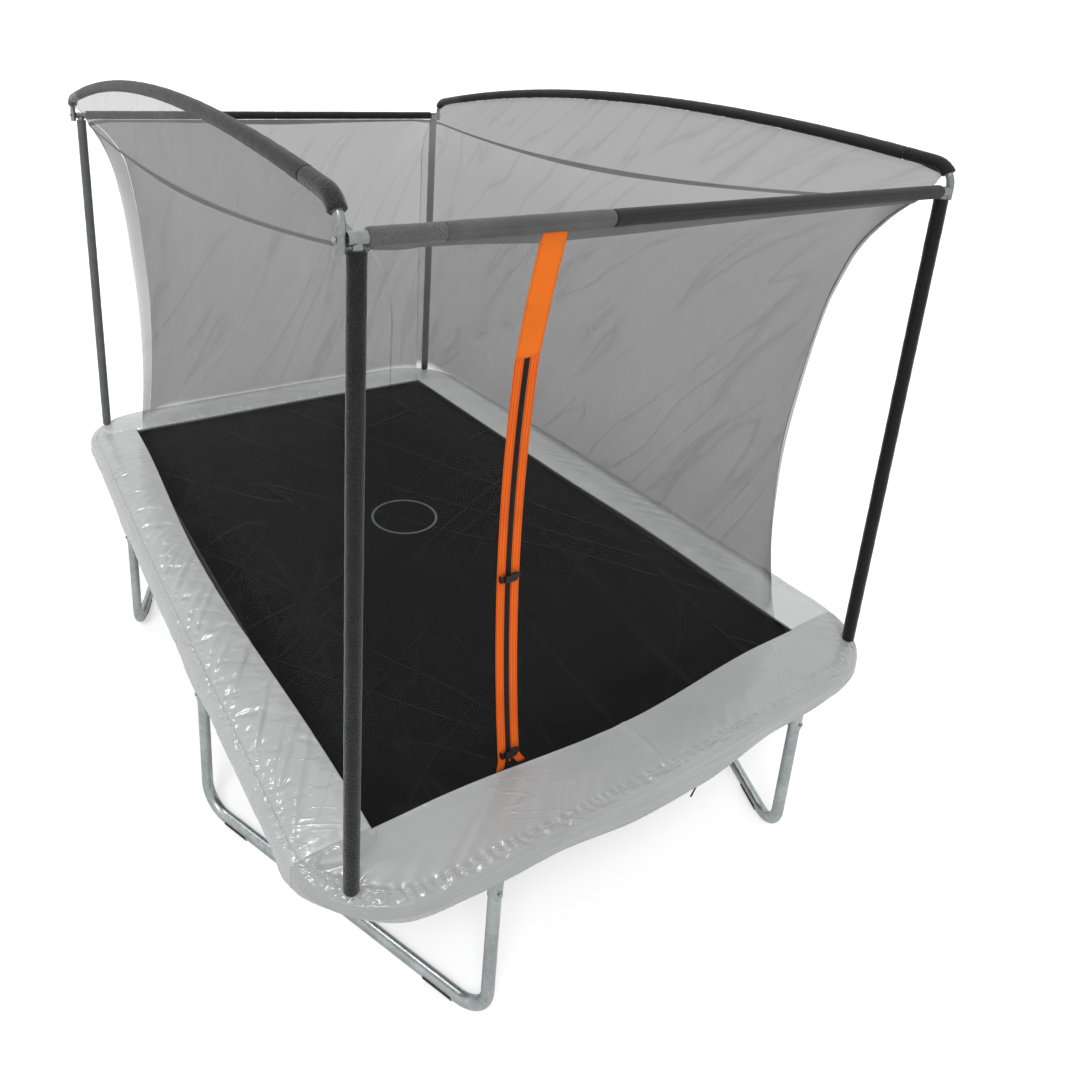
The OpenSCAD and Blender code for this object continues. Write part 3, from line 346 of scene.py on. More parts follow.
def bandFinish(name, colour, ribPitch, ribs=0.5, roughness=0.7, sheen=0.3, lines=0.0):
    # woven webbing: ribs across the band, fuzz along its length, and darker warp lines at a pitch if it has them
    made, tree, shader = newFinish(name, Roughness=roughness, **{"Sheen Weight": sheen, "Sheen Roughness": 0.4,
                                                                "Specular IOR Level": 0.25})
    rib = addNode(tree, "TexWave", {"Vector": placeOf(tree, "UV", (1.0, 1 / ribPitch, 1.0)), "Scale": 0.31,
                                    "Distortion": 0.4, "Detail": 1.0}, bands_direction="Y")
    yarn = noiseOf(tree, placeOf(tree, "UV", (900.0, 260.0, 1.0)), 1.0, 2.0)
    fade = noiseOf(tree, placeOf(tree), 6.0, 4.0)
    shade = weighed(tree, yarn, 0.5, fade, 0.5)
    base = colourRamp(tree, shade, [(0.32, tint(colour, 0.78)), (0.68, tint(colour, 1.12)), (0.5, colour)])
    if lines:
        # TexWave repeats every 1 / (20 / 2 pi) of its input at a scale of 1
        warp = addNode(tree, "TexWave", {"Vector": placeOf(tree, "UV", (1 / lines, 1.0, 1.0)), "Scale": 0.3142,
                                         "Phase Offset": math.pi / 2}, bands_direction="X", wave_profile="SIN")
        dark = mathNode(tree, "MULTIPLY", mathNode(tree, "POWER", warp.outputs["Fac"], 14.0), 0.75)
        lined = addNode(tree, "Mix", {0: dark, 6: base, 7: (*tint(colour, 0.30), 1)}, data_type="RGBA")
        base = lined.outputs[2]
    tree.links.new(base, shader.inputs["Base Color"])
    soft = setBump(tree, None, rib.outputs["Fac"], ribs, 0.0009)
    setBump(tree, shader, yarn, 0.3, 0.0005, under=soft)
    return made


def plasticFinish(name, colour, roughness):
    made, tree, shader = newFinish(name, **{"Specular IOR Level": 0.25})
    place = placeOf(tree)
    grain = addNode(tree, "TexVoronoi", {"Vector": place, "Scale": 1400.0})
    worn = noiseOf(tree, place, 60.0, 4.0)
    tree.links.new(colourRamp(tree, worn, [(0.3, tint(colour, 0.8)), (0.75, tint(colour, 1.6))]),
                   shader.inputs["Base Color"])
    tree.links.new(rangeTo(tree, worn, roughness - 0.08, roughness + 0.12), shader.inputs["Roughness"])
    setBump(tree, shader, grain.outputs["Distance"], 0.2, 0.0003)
    return made


def castFinish(name, colour):
    made, tree, shader = newFinish(name, Metallic=1.0)
    rubbed = noiseOf(tree, placeOf(tree), 180.0, 5.0)
    tree.links.new(colourRamp(tree, rubbed, [(0.3, tint(colour, 0.6)), (0.7, tint(colour, 1.2))]),
                   shader.inputs["Base Color"])
    tree.links.new(rangeTo(tree, rubbed, 0.2, 0.45), shader.inputs["Roughness"])
    setBump(tree, shader, rubbed, 0.15, 0.0003)
    return made


def matFinish(name, colour, ringColour, ringRadius, ringWidth):
    # woven jumping fabric: crossing flat yarns, faint long folds that are bumped and also painted lighter along their
    # lines as a painted highlight, a plain printed ring at the middle
    made, tree, shader = newFinish(name, **{"Sheen Weight": 0.05, "Sheen Roughness": 0.35, "Specular IOR Level": 0.07})
    weave = noiseOf(tree, placeOf(tree, scale=(330.0, 700.0, 1.0)), 1.0, 2.0)
    streaks = noiseOf(tree, placeOf(tree, scale=(40.0, 2.5, 1.0)), 1.0, 6.0, roughness=0.7)
    scuffs = noiseOf(tree, placeOf(tree), 3.0, 8.0, roughness=0.7)
    lines = []
    for turn, stretched, shift in ((0.55, (0.35, 2.3, 1.0), (7.3, 2.6, 4.4)), (2.1, (0.3, 2.0, 1.0), (-5.2, 9.4, 1.7)),
                                   (1.35, (0.4, 2.6, 1.0), (3.9, -6.8, 8.6))):
        place = placeOf(tree, scale=stretched, turn=turn, shift=shift)
        lines.append(ridgeOf(tree, noiseOf(tree, place, 1.0, 1.0, distortion=0.25), 0.010))
    foldAndHighlight = mathNode(tree, "MAXIMUM", mathNode(tree, "MAXIMUM", lines[0], lines[1]), lines[2])
    # the fold lines also lighten the base colour: a painted highlight along each fold
    shade = mathNode(tree, "ADD", weighed(tree, streaks, 0.4, foldAndHighlight, 0.10), weighed(tree, scuffs, 0.35, weave, 0.25))
    base = colourRamp(tree, shade, [(0.36, tint(colour, 0.5)), (0.66, tint(colour, 2.4)), (0.5, colour)])
    away = addNode(tree, "VectorMath", {0: placeOf(tree, scale=(1.0, 1.0, 0.0))}, operation="LENGTH").outputs["Value"]
    offRing = mathNode(tree, "ABSOLUTE", mathNode(tree, "SUBTRACT", away, ringRadius))
    inkWorn = mathNode(tree, "MULTIPLY", mathNode(tree, "LESS_THAN", offRing, ringWidth / 2),
                       rangeTo(tree, scuffs, 0.7, 1.0))
    printed = addNode(tree, "Mix", {0: inkWorn, 6: base, 7: (*ringColour, 1)}, data_type="RGBA")
    tree.links.new(printed.outputs[2], shader.inputs["Base Color"])
    tree.links.new(rangeTo(tree, streaks, 0.55, 0.75), shader.inputs["Roughness"])
    soft = setBump(tree, None, foldAndHighlight, 0.6, 0.005)
    setBump(tree, shader, weave, 0.3, 0.0008, under=soft)
    return made


# ---- geometry node helpers ----

def startTree(name, inputs):
    tree = bpy.data.node_groups.new(name, "GeometryNodeTree")
    for label, kind, value in inputs:
        socket = tree.interface.new_socket(label, in_out="INPUT", socket_type="NodeSocket" + kind)
        if value is not None:
            socket.default_value = value
    tree.interface.new_socket("Geometry", in_out="OUTPUT", socket_type="NodeSocketGeometry")
    return tree, tree.nodes.new("NodeGroupInput"), tree.nodes.new("NodeGroupOutput")


def alignedPoints(tree, geometry, piece):
    # copies of a piece on points, X along the "along" attribute and Z along "up"
    along = makeNode(tree, "GeometryNodeInputNamedAttribute", {"Name": "along"}, data_type="FLOAT_VECTOR")
    up = makeNode(tree, "GeometryNodeInputNamedAttribute", {"Name": "up"}, data_type="FLOAT_VECTOR")
    first = makeNode(tree, "FunctionNodeAlignRotationToVector", {"Vector": along.outputs["Attribute"]}, axis="X")
    both = makeNode(tree, "FunctionNodeAlignRotationToVector",
                    {"Rotation": first.outputs["Rotation"], "Vector": up.outputs["Attribute"]},
                    axis="Z", pivot_axis="X")
    return makeNode(tree, "GeometryNodeInstanceOnPoints",
                    {"Points": geometry, "Instance": piece, "Rotation": both.outputs["Rotation"]})


def endTree(tree, geometry, finish, out):
    real = makeNode(tree, "GeometryNodeRealizeInstances", {"Geometry": geometry})
    painted = makeNode(tree, "GeometryNodeSetMaterial", {"Geometry": real.outputs["Geometry"], "Material": finish})
    shaded = makeNode(tree, "GeometryNodeSetShadeSmooth", {"Geometry": painted.outputs["Geometry"]})
    tree.links.new(shaded.outputs["Geometry"], out.inputs["Geometry"])


def runTree(name, tree, points, along, up, values):
    mesh = bpy.data.meshes.new(name + "Points")
    mesh.from_pydata([tuple(map(float, p)) for p in points], [], [])
    for label, vectors in (("along", along), ("up", up)):
        layer = mesh.attributes.new(label, "FLOAT_VECTOR", "POINT")
        spread = np.broadcast_to(np.asarray(vectors, float), (len(points), 3))
        layer.data.foreach_set("vector", spread.astype(np.float32).ravel())
    host = addObject(name + "Points", mesh)
    build = host.modifiers.new("build", "NODES")
    build.node_group = tree
    ids = {item.name: item.identifier for item in tree.interface.items_tree if item.in_out == "INPUT"}
    for label, value in values.items():
        build[ids[label]] = value
    result = bpy.data.meshes.new_from_object(host.evaluated_get(bpy.context.evaluated_depsgraph_get()))
    bpy.data.objects.remove(host)
    for label in ("along", "up"):
        if label in result.attributes:
            result.attributes.remove(result.attributes[label])
    result.materials.clear()
    result.materials.append(values["Finish"])
    return addObject(name, result)


def stitchTree():
    # one sewn stitch: a short rounded thread that dips into the cloth at both ends
    tree, given, out = startTree("stitches", [
        ("Geometry", "Geometry", None), ("Length", "Float", 0.005), ("Thread", "Float", 0.0008),
        ("Skew", "Float", 0.1), ("Seed", "Int", 4), ("Finish", "Material", None)])
    arc = makeNode(tree, "GeometryNodeCurveQuadraticBezier", {"Resolution": 4, "Start": (-0.5, 0, -0.12),
                                                              "Middle": (0, 0, 0.34), "End": (0.5, 0, -0.12)})
    size = makeNode(tree, "ShaderNodeCombineXYZ", {"X": given.outputs["Length"], "Y": given.outputs["Length"],
                                                   "Z": given.outputs["Length"]})
    bent = makeNode(tree, "GeometryNodeTransform", {"Geometry": arc.outputs["Curve"], "Scale": size.outputs["Vector"]})
    thread = makeNode(tree, "GeometryNodeCurvePrimitiveCircle", {"Resolution": 4, "Radius": given.outputs["Thread"]})
    tube = makeNode(tree, "GeometryNodeCurveToMesh", {"Curve": bent.outputs["Geometry"],
                                                      "Profile Curve": thread.outputs["Curve"], "Fill Caps": True})
    copies = alignedPoints(tree, given.outputs["Geometry"], tube.outputs["Mesh"])
    lean = makeNode(tree, "FunctionNodeRandomValue", {"Seed": given.outputs["Seed"]}, data_type="FLOAT")
    low = makeNode(tree, "ShaderNodeMath", {0: given.outputs["Skew"], 1: -1.0}, operation="MULTIPLY")
    floats = [s for s in lean.inputs if s.type == "VALUE"]
    tree.links.new(low.outputs[0], floats[0])
    tree.links.new(given.outputs["Skew"], floats[1])
    value = next(s for s in lean.outputs if s.type == "VALUE")
    turn = makeNode(tree, "ShaderNodeCombineXYZ", {"Z": value})
    turned = makeNode(tree, "GeometryNodeRotateInstances",
                      {"Instances": copies.outputs["Instances"], "Rotation": turn.outputs["Vector"]})
    endTree(tree, turned.outputs["Instances"], given.outputs["Finish"], out)
    return tree


def springTree():
    # closed coil along X from the ring to the rail, with a round hook at each end
    tree, given, out = startTree("coilSprings", [
        ("Geometry", "Geometry", None), ("Coil length", "Float", 0.09), ("Coil radius", "Float", 0.0094),
        ("Wire radius", "Float", 0.0016), ("Turns", "Float", 24.0), ("Hook length", "Float", 0.014),
        ("Finish", "Material", None)])
    coil = makeNode(tree, "GeometryNodeCurveSpiral", {"Resolution": 9, "Rotations": given.outputs["Turns"],
                                                      "Start Radius": given.outputs["Coil radius"],
                                                      "End Radius": given.outputs["Coil radius"],
                                                      "Height": given.outputs["Coil length"]})
    place = makeNode(tree, "ShaderNodeCombineXYZ", {"X": given.outputs["Hook length"]})
    lying = makeNode(tree, "GeometryNodeTransform", {"Geometry": coil.outputs["Curve"], "Rotation": (0, math.pi / 2, 0),
                                                     "Translation": place.outputs["Vector"]})
    wire = makeNode(tree, "GeometryNodeCurvePrimitiveCircle", {"Resolution": 5, "Radius": given.outputs["Wire radius"]})
    parts = [makeNode(tree, "GeometryNodeCurveToMesh", {"Curve": lying.outputs["Geometry"],
                                                        "Profile Curve": wire.outputs["Curve"], "Fill Caps": True})]
    reach = makeNode(tree, "ShaderNodeMath", {0: given.outputs["Coil length"], 1: given.outputs["Hook length"]},
                     operation="ADD")
    farEnd = makeNode(tree, "ShaderNodeMath", {0: reach.outputs[0], 1: given.outputs["Hook length"]}, operation="ADD")
    for near, far in ((0.0, given.outputs["Hook length"]), (farEnd.outputs[0], reach.outputs[0])):
        tip = makeNode(tree, "ShaderNodeCombineXYZ", {"X": near})
        root = makeNode(tree, "ShaderNodeCombineXYZ", {"X": far, "Z": given.outputs["Coil radius"]})
        knee = makeNode(tree, "ShaderNodeCombineXYZ", {"X": near, "Z": given.outputs["Coil radius"]})
        hook = makeNode(tree, "GeometryNodeCurveQuadraticBezier", {
            "Resolution": 6, "Start": tip.outputs["Vector"], "Middle": knee.outputs["Vector"],
            "End": root.outputs["Vector"]})
        parts.append(makeNode(tree, "GeometryNodeCurveToMesh", {
            "Curve": hook.outputs["Curve"], "Profile Curve": wire.outputs["Curve"], "Fill Caps": True}))
    joined = makeNode(tree, "GeometryNodeJoinGeometry")
    for part in parts:
        tree.links.new(part.outputs["Mesh"], joined.inputs["Geometry"])
    copies = alignedPoints(tree, given.outputs["Geometry"], joined.outputs["Geometry"])
    endTree(tree, copies.outputs["Instances"], given.outputs["Finish"], out)
    return tree


def blockTree():
    # small rounded block, for zip teeth and webbing tabs
    tree, given, out = startTree("blocks", [
        ("Geometry", "Geometry", None), ("Size", "Vector", (0.002, 0.002, 0.002)), ("Finish", "Material", None)])
    block = makeNode(tree, "GeometryNodeMeshCube", {"Size": given.outputs["Size"]})
    copies = alignedPoints(tree, given.outputs["Geometry"], block.outputs["Mesh"])
    endTree(tree, copies.outputs["Instances"], given.outputs["Finish"], out)
    return tree


def spacedAlong(line, pitch, normals=None):
    # points, directions and normals at an even pitch along a line of points
    line = np.asarray(line, float)
    reach = reachOf(line)
    at = np.arange(pitch / 2, reach[-1], pitch)
    ahead, back = rowsAt(at + pitch / 4, reach, line), rowsAt(at - pitch / 4, reach, line)
    return rowsAt(at, reach, line), ahead - back, None if normals is None else rowsAt(at, reach, normals)


# ---- camera, light and floor ----

view = {"place": (-1.8572, -3.2850, 2.866), "turn": (1.27130, -0.03880, -0.54365), "lens": 28.19,
        "shift": (0.0896, -0.2040)}
light = {"world": 0.57, "skySeen": 0.28, "floorSeen": 0.3,
         "sun": (0.95, 20, (38, -16, -20)), "window": (0.8, 9, (24, 8, 152))}

cameraData = bpy.data.cameras.new("camera")
cameraData.lens, cameraData.sensor_width = view["lens"], 36
cameraData.shift_x, cameraData.shift_y = view["shift"]
camera = addObject("camera", cameraData)
camera.location, camera.rotation_euler = view["place"], view["turn"]
scene.camera = camera
scene.view_settings.view_transform = "Standard"

for lampName in ("sun", "window"):
    power, size, turn = light[lampName]
    lampData = bpy.data.lights.new(lampName, "SUN")
    lampData.energy, lampData.angle = power, math.radians(size)
    lampData.use_shadow = lampName == "sun"  # one shadow on the floor
    lamp = addObject(lampName, lampData)
    lamp.rotation_euler = [math.radians(a) for a in turn]

scene.world = bpy.data.worlds.new("studio")
scene.world.use_nodes = True
sky = scene.world.node_tree
skyPath = addNode(sky, "LightPath")
seenOrMirrored = mathNode(sky, "MAXIMUM", skyPath.outputs["Is Camera Ray"], skyPath.outputs["Is Glossy Ray"])
seen = mathNode(sky, "MAXIMUM", seenOrMirrored, skyPath.outputs["Is Transmission Ray"])
skyLight = sky.nodes["Background"]
skyLight.inputs["Color"].default_value = (1, 1, 1, 1)
# the camera sees the sky as bright as the floor, so the nets look the same above and below the horizon
sky.links.new(mathNode(sky, "ADD", rangeTo(sky, seen, light["world"], 1.0),
                       mathNode(sky, "MULTIPLY", skyPath.outputs["Is Camera Ray"], light["skySeen"])),
              skyLight.inputs["Strength"])

floorFinish, floorTree, floorShader = newFinish("paleFloor", Roughness=0.7, **{"Specular IOR Level": 0.1})
floorGrain = noiseOf(floorTree, placeOf(floorTree), 60.0, 3.0)
floorPaint = colourRamp(floorTree, floorGrain, [(0.3, (0.93, 0.93, 0.93)), (0.7, (0.95, 0.95, 0.95))])
floorTree.links.new(floorPaint, floorShader.inputs["Base Color"])
floorPath = addNode(floorTree, "LightPath")
floorTree.links.new(rangeTo(floorTree, floorPath.outputs["Is Camera Ray"], 0.0, light["floorSeen"]),
                    floorShader.inputs["Emission Strength"])
floorShader.inputs["Emission Color"].default_value = (1, 1, 1, 1)
floor = meshObject("floor", [(-60, -60, 0), (60, -60, 0), (60, 60, 0), (-60, 60, 0)], [(0, 1, 2, 3)], floorFinish)
print("camera, light and floor placed")


# ---- rigid metal and plastic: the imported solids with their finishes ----

metal = {"tube": (0.40, 0.43, 0.435), "joint": (0.255, 0.27, 0.275), "bolt": (0.36, 0.36, 0.37),
         "brass": (0.62, 0.40, 0.13)}
galvanised = steelFinish("galvanisedTube", metal["tube"], 0.36, 85.0, (60.0, 60.0, 5.0))
galvanisedFlat = steelFinish("galvanisedRail", metal["tube"], 0.3, 85.0, (5.0, 5.0, 90.0))
jointSteel = steelFinish("jointSteel", metal["joint"], 0.30, 120.0, (30.0, 30.0, 30.0))
boltSteel = steelFinish("zincBolt", metal["bolt"], 0.26, 200.0, (120.0, 120.0, 120.0))
blackPlastic = plasticFinish("blackPlastic", (0.0075, 0.0072, 0.0075), 0.38)
brass = castFinish("brassCasting", metal["brass"])

sides = ("front", "back", "left", "right")
corners = ("front_left", "front_right", "back_left", "back_right")
cornerSigns = {"front_left": (-1, -1), "front_right": (1, -1), "back_left": (-1, 1), "back_right": (1, 1)}
nodeFinishes = {}
nodeFinishes.update({f"rail_{side}": galvanisedFlat for side in sides})
nodeFinishes.update({f"{part}_{corner}": galvanised for corner in corners
                     for part in ("corner", "leg_posts", "leg_base", "pole")})
nodeFinishes.update({f"tee_{corner}": jointSteel for corner in corners})
nodeFinishes.update({name: jointSteel for name in ("arch_left", "arch_right", "top_rail_front", "top_rail_back")})
nodeFinishes.update({"frame_bolts": boltSteel, "mat_rings": boltSteel, "foot_clips": blackPlastic,
                     "buckle_sockets": blackPlastic, "buckle_clip_upper": blackPlastic,
                     "buckle_clip_lower": blackPlastic, "zip_slider": brass, "zip_pull": brass})
for name, finish in nodeFinishes.items():
    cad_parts[name].data.materials.clear()
    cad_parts[name].data.materials.append(finish)
print("finishes on", len(nodeFinishes), "rigid nodes")


# ---- safety net ----

net = {"low": 0.6675, "height": 1.8092, "lean": math.radians(3.1235), "bowRadius": 5.6, "bowY": 1.524, "bowZ": 0.56033,
       "flare": 0.031, "flareFrom": 2.113, "top": 2.5, "doorX": -0.46, "doorHalf": 0.033, "cornerTurn": 45.25,
       "sag": 0.105, "inset": 0.030, "poleY": 1.70935, "rows": 84, "arcSteps": 26, "sideSteps": 64, "backSteps": 60,
       "rightSteps": 90, "leftSteps": 34, "hemWide": 0.030,
       "halfWidth": [(0, 0.955), (0.3, 0.958), (0.55, 0.966), (0.75, 0.990), (0.92, 1.025), (1, 1.08735)],
       "cornerRadius": [(0, 0.120), (0.06, 0.190), (0.25, 0.290), (0.45, 0.345), (0.6, 0.340), (0.8, 0.350),
                        (0.93, 0.330), (0.97, 0.230), (1, 0.120)]}
arch = {"x": 1.13735, "radius": 10.8, "centreZ": -8.082, "bendY": 1.62935, "bendZ": 2.51345, "bendRadius": 0.08,
        "bendAngle": math.radians(8.74), "foamUnder": 0.0233}
netCloth = {"near": netFinish("netNear", (0.020, 0.020, 0.021), 0.26, 0.60, folded=0.035),
            "back": netFinish("netBack", (0.235, 0.235, 0.237), 0.75, 0.75, foldTurn=-1.1),
            "right": netFinish("netRight", (0.235, 0.235, 0.237), 0.78, 0.78, openTo=0.885, foldTurn=-0.85),
            "infill": netFinish("netInfill", (0.235, 0.235, 0.237), 0.52, 0.52)}
netHem = netFinish("netHem", (0.20, 0.20, 0.202), 0.82, 0.82)


def smoothLookup(t, steps, blur=0.05):
    xs, ys = zip(*steps)
    width = min(blur, t, 1 - t)
    return float(np.mean([np.interp(t + width * k / 4, xs, ys) for k in range(-4, 5)]))


def bowAt(z):
    up = (z - net["low"]) / math.cos(net["lean"]) - net["bowZ"]
    arc = net["bowY"] + net["bowRadius"] - math.sqrt(net["bowRadius"] ** 2 - up * up)
    return arc + net["flare"] * max(0, (z - net["flareFrom"]) / (net["top"] - net["flareFrom"]))


def netHeight(t):
    return net["low"] + t * net["height"]


def doorX(z):
    return net["doorX"] - (z - net["low"]) * math.tan(net["lean"])


netTurns = [math.radians(net["cornerTurn"]) * j / net["arcSteps"] for j in range(1, net["arcSteps"] + 1)]


def endRow(t, start, cols):
    # half of an end net at one height, from start to the diagonal of the right corner
    z = netHeight(t)
    a, r, b = smoothLookup(t, net["halfWidth"]), smoothLookup(t, net["cornerRadius"]), bowAt(z)
    straight = [(start + (a - r - start) * j / cols, -b, z) for j in range(cols + 1)]
    return straight + [(a - r + r * math.sin(q), -b + r - r * math.cos(q), z) for q in netTurns]


def sideRow(t):
    a, r, b = smoothLookup(t, net["halfWidth"]), smoothLookup(t, net["cornerRadius"]), bowAt(netHeight(t))
    # half of a side net at one height, mirrored to the other end
    flat = [(-a, (b - r) * j / net["sideSteps"]) for j in range(net["sideSteps"] + 1)]
    flat += [(-a + r - r * math.cos(q), b - r + r * math.sin(q)) for q in netTurns]
    row = []
    for x, y in flat:
        loose = 1 - (y / net["poleY"]) ** 2
        row.append((x + net["inset"] * t ** 6 * loose, -y, net["low"] + t * (net["height"] - net["sag"] * loose)))
    return [(x, -y, z) for x, y, z in row[:0:-1]] + row


def archUnder(y):
    flat = arch["radius"] - arch["foamUnder"]
    if abs(y) < flat * math.sin(arch["bendAngle"]):
        return arch["centreZ"] + math.sqrt(flat ** 2 - y * y)
    bend = arch["bendRadius"] - arch["foamUnder"]
    return arch["bendZ"] + math.sqrt(max(0, bend ** 2 - (abs(y) - arch["bendY"]) ** 2))


def slackNet(grid, amount, seed, edge=0.12):
    # soft pulls in the cloth: none along its sewn edges, most in the middle
    rows, cols = grid.shape[:2]
    up, across = np.linspace(0, 1, rows)[:, None], np.linspace(0, 1, cols)[None, :]
    free = smoothStep(up, 0.0, edge) * smoothStep(1 - up, 0.0, edge) * (0.25 + 0.75 * smoothStep(across, 0, 0.06)
                                                                   * smoothStep(1 - across, 0, 0.06))
    pulls = wave(grid, (2.2, 2.2, 0.7), seed) + 0.5 * wave(grid, (6.0, 6.0, 1.6), seed + 9)
    return grid + gridNormals(grid) * (amount * free * pulls)[..., None]


def netRows(maker):
    return np.array([maker(t) for t in np.linspace(0.0, 1.0, net["rows"])])


def frontRight(t):
    return endRow(t, doorX(netHeight(t)) + net["doorHalf"], net["rightSteps"])


def frontLeft(t):
    return [(-x, y, z) for x, y, z in reversed(endRow(t, -doorX(netHeight(t)) + net["doorHalf"], net["leftSteps"]))]


def backRow(t):
    row = endRow(t, 0.0, net["backSteps"])
    return [(x, -y, z) for x, y, z in reversed(row)] + [(-x, -y, z) for x, y, z in row[1:]]


def infill(seam, rows=9):
    seam = np.asarray(seam)
    end = arch["bendY"] + (arch["bendRadius"] - arch["foamUnder"]) * 0.8
    ys = end * np.sin(np.linspace(math.pi / 2, -math.pi / 2, 121))
    order = np.argsort(seam[:, 1])
    low = np.interp(ys, seam[order, 1], seam[order, 2])
    side = np.interp(ys, seam[order, 1], seam[order, 0])
    high = np.array([archUnder(y) for y in ys])
    return np.array([np.stack([side * (1 - s) - arch["x"] * s, ys, low + (high - low) * s], axis=1)
                     for s in np.linspace(0, 1, rows)])


def joinGrids(name, grids, finish):
    points, faces, uvs, count = [], [], [], 0
    for grid in grids:
        rows, cols = grid.shape[:2]
        points.append(grid.reshape(-1, 3))
        uvs.append(gridUvs(grid))
        faces += [tuple(v + count for v in face) for face in gridFaces(rows, cols)]
        count += rows * cols
    return meshObject(name, np.concatenate(points), faces, finish, uvs=np.concatenate(uvs))


def gridArea(*grids):
    total = 0.0
    for grid in grids:
        a, b = grid[1:, 1:] - grid[:-1, :-1], grid[1:, :-1] - grid[:-1, 1:]
        total += float(np.linalg.norm(np.cross(a, b), axis=2).sum() / 2)
    return total


def hangNet(side, grids, finish):
    made = joinGrids(f"netting_{side}", grids, finish)
    area = gridArea(*grids)
    width = float(np.linalg.norm(np.diff(grids[0][-1], axis=0), axis=1).sum())
    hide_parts(f"net_{side}")
    nets[side] = (made, width, area)


nets = {}
# depth of the pulls in each width of netting, and their seed
netSlack = {"frontRight": (0.010, 3.1), "frontLeft": (0.006, 5.7), "back": (0.012, 8.3), "left": (0.014, 12.9),
            "right": (0.014, 21.4)}
frontGrids = [slackNet(netRows(frontRight), *netSlack["frontRight"]),
              slackNet(netRows(frontLeft), *netSlack["frontLeft"])]
backGrid = slackNet(netRows(backRow), *netSlack["back"])
leftGrid = slackNet(netRows(sideRow), *netSlack["left"])
rightGrid = mirrorGrid(slackNet(netRows(sideRow), *netSlack["right"]))
leftInfill = infill(leftGrid[-1])
rightInfill = mirrorGrid(infill(mirrorGrid(rightGrid)[-1]))


def seamBand(grid, tops, width=0.022, out=0.0015):
    # strip that follows the last row of a net, folded over the seam
    top, normals = grid[-1], gridNormals(grid)[-1]
    down = grid[-2] - grid[-1]
    down /= np.linalg.norm(down, axis=1, keepdims=True)
    return np.array([top + down * width * s + normals * out for s in np.linspace(1, tops, 5)])


hangNet("front", frontGrids, netCloth["near"])
hangNet("back", [backGrid], netCloth["back"])
hangNet("left", [leftGrid, leftInfill], netCloth["near"])
hangNet("right", [rightGrid, rightInfill], netCloth["right"])
# the upper panel of the left net is of the closer netting
leftNet = nets["left"][0].data
leftNet.materials.append(netCloth["infill"])
slots = np.zeros(len(leftNet.polygons), np.int32)
slots[(leftGrid.shape[0] - 1) * (leftGrid.shape[1] - 1):] = 1
leftNet.polygons.foreach_set("material_index", slots)

netHems = {
    "net_hem_front": [seamBand(g, 0.0, net["hemWide"]) for g in frontGrids],
    "net_hem_back": [seamBand(backGrid, 0.0, net["hemWide"])],
    "net_hem_left": [seamBand(leftGrid, -0.2)],
    "net_hem_right": [seamBand(rightGrid, -0.2)]}
for name, bands in netHems.items():
    strip = joinGrids(name, bands, netHem)
    thicken = strip.modifiers.new("thickness", "SOLIDIFY")
    thicken.thickness, thicken.offset = 0.0008, 1.0
    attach(strip, "frame")
for side, (made, width, area) in nets.items():
    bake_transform(made)
    width = max(width, 1.0)
print("net hung on four sides")


# ---- jumping mat ----

mat = {"halfWidth": 1.032, "halfLength": 1.642, "corner": 0.200, "top": 0.6655, "bottom": 0.6625, "sag": 0.004,
       "hem": 0.045, "rows": 130, "cols": 82, "tab": (0.052, 0.030, 0.0045), "springPitch": 0.150,
       "sideSprings": 20, "endSprings": 12, "springLine": 0.664, "ringDepth": 0.024, "hemThick": 0.0012,
       "ripple": 0.0012, "bunch": 0.10, "tabIn": 0.018}
matCloth = matFinish("jumpingMat", (0.0042, 0.0042, 0.0046), (0.17, 0.20, 0.21), 0.16, 0.012)
webbing = bandFinish("blackWebbing", (0.014, 0.014, 0.016), 0.003)


def matHalfWidth(y):
    over = max(0.0, abs(y) - (mat["halfLength"] - mat["corner"]))
    return mat["halfWidth"] - (mat["corner"] - math.sqrt(max(0.0, mat["corner"] ** 2 - over ** 2)))


def matGrid(z):
    # rows close up at the rounded corners
    share = np.linspace(-1, 1, mat["rows"])
    ys = mat["halfLength"] * (share + mat["bunch"] * np.sin(np.pi * share) / np.pi)
    ys = mat["halfLength"] * ys / abs(ys[-1])
    grid = np.array([[(matHalfWidth(y) * u, y, z) for u in np.linspace(-1, 1, mat["cols"])] for y in ys])
    inside = (1 - (grid[..., 0] / mat["halfWidth"]) ** 2) * (1 - (grid[..., 1] / mat["halfLength"]) ** 2)
    ripple = wave(grid, (3.0, 1.6, 0), 2.0) + 0.5 * wave(grid, (9.0, 5.0, 0), 7.0)
    grid[..., 2] -= mat["sag"] * inside + mat["ripple"] * (0.5 + ripple * 0.5) * smoothStep(inside, 0, 0.15)
    return grid


upper = matGrid(mat["top"])
matPiece = doubleObject("mat_fabric", upper, matGrid(mat["bottom"]), matCloth, upper.reshape(-1, 3)[:, :2])


def roundedOutline(halfX, halfY, radius, z, pitch=0.02):
    line = []
    for sx, sy, start in ((1, 1, 0), (-1, 1, 90), (-1, -1, 180), (1, -1, 270)):
        centre = (sx * (halfX - radius), sy * (halfY - radius))
        for k in range(15):
            q = math.radians(start + 90 * k / 14)
            line.append((centre[0] + radius * math.cos(q), centre[1] + radius * math.sin(q), z))
    line = np.array(line + line[:1])
    reach = reachOf(line)
    return rowsAt(np.linspace(0, reach[-1], int(reach[-1] / pitch)), reach, line)[:-1]


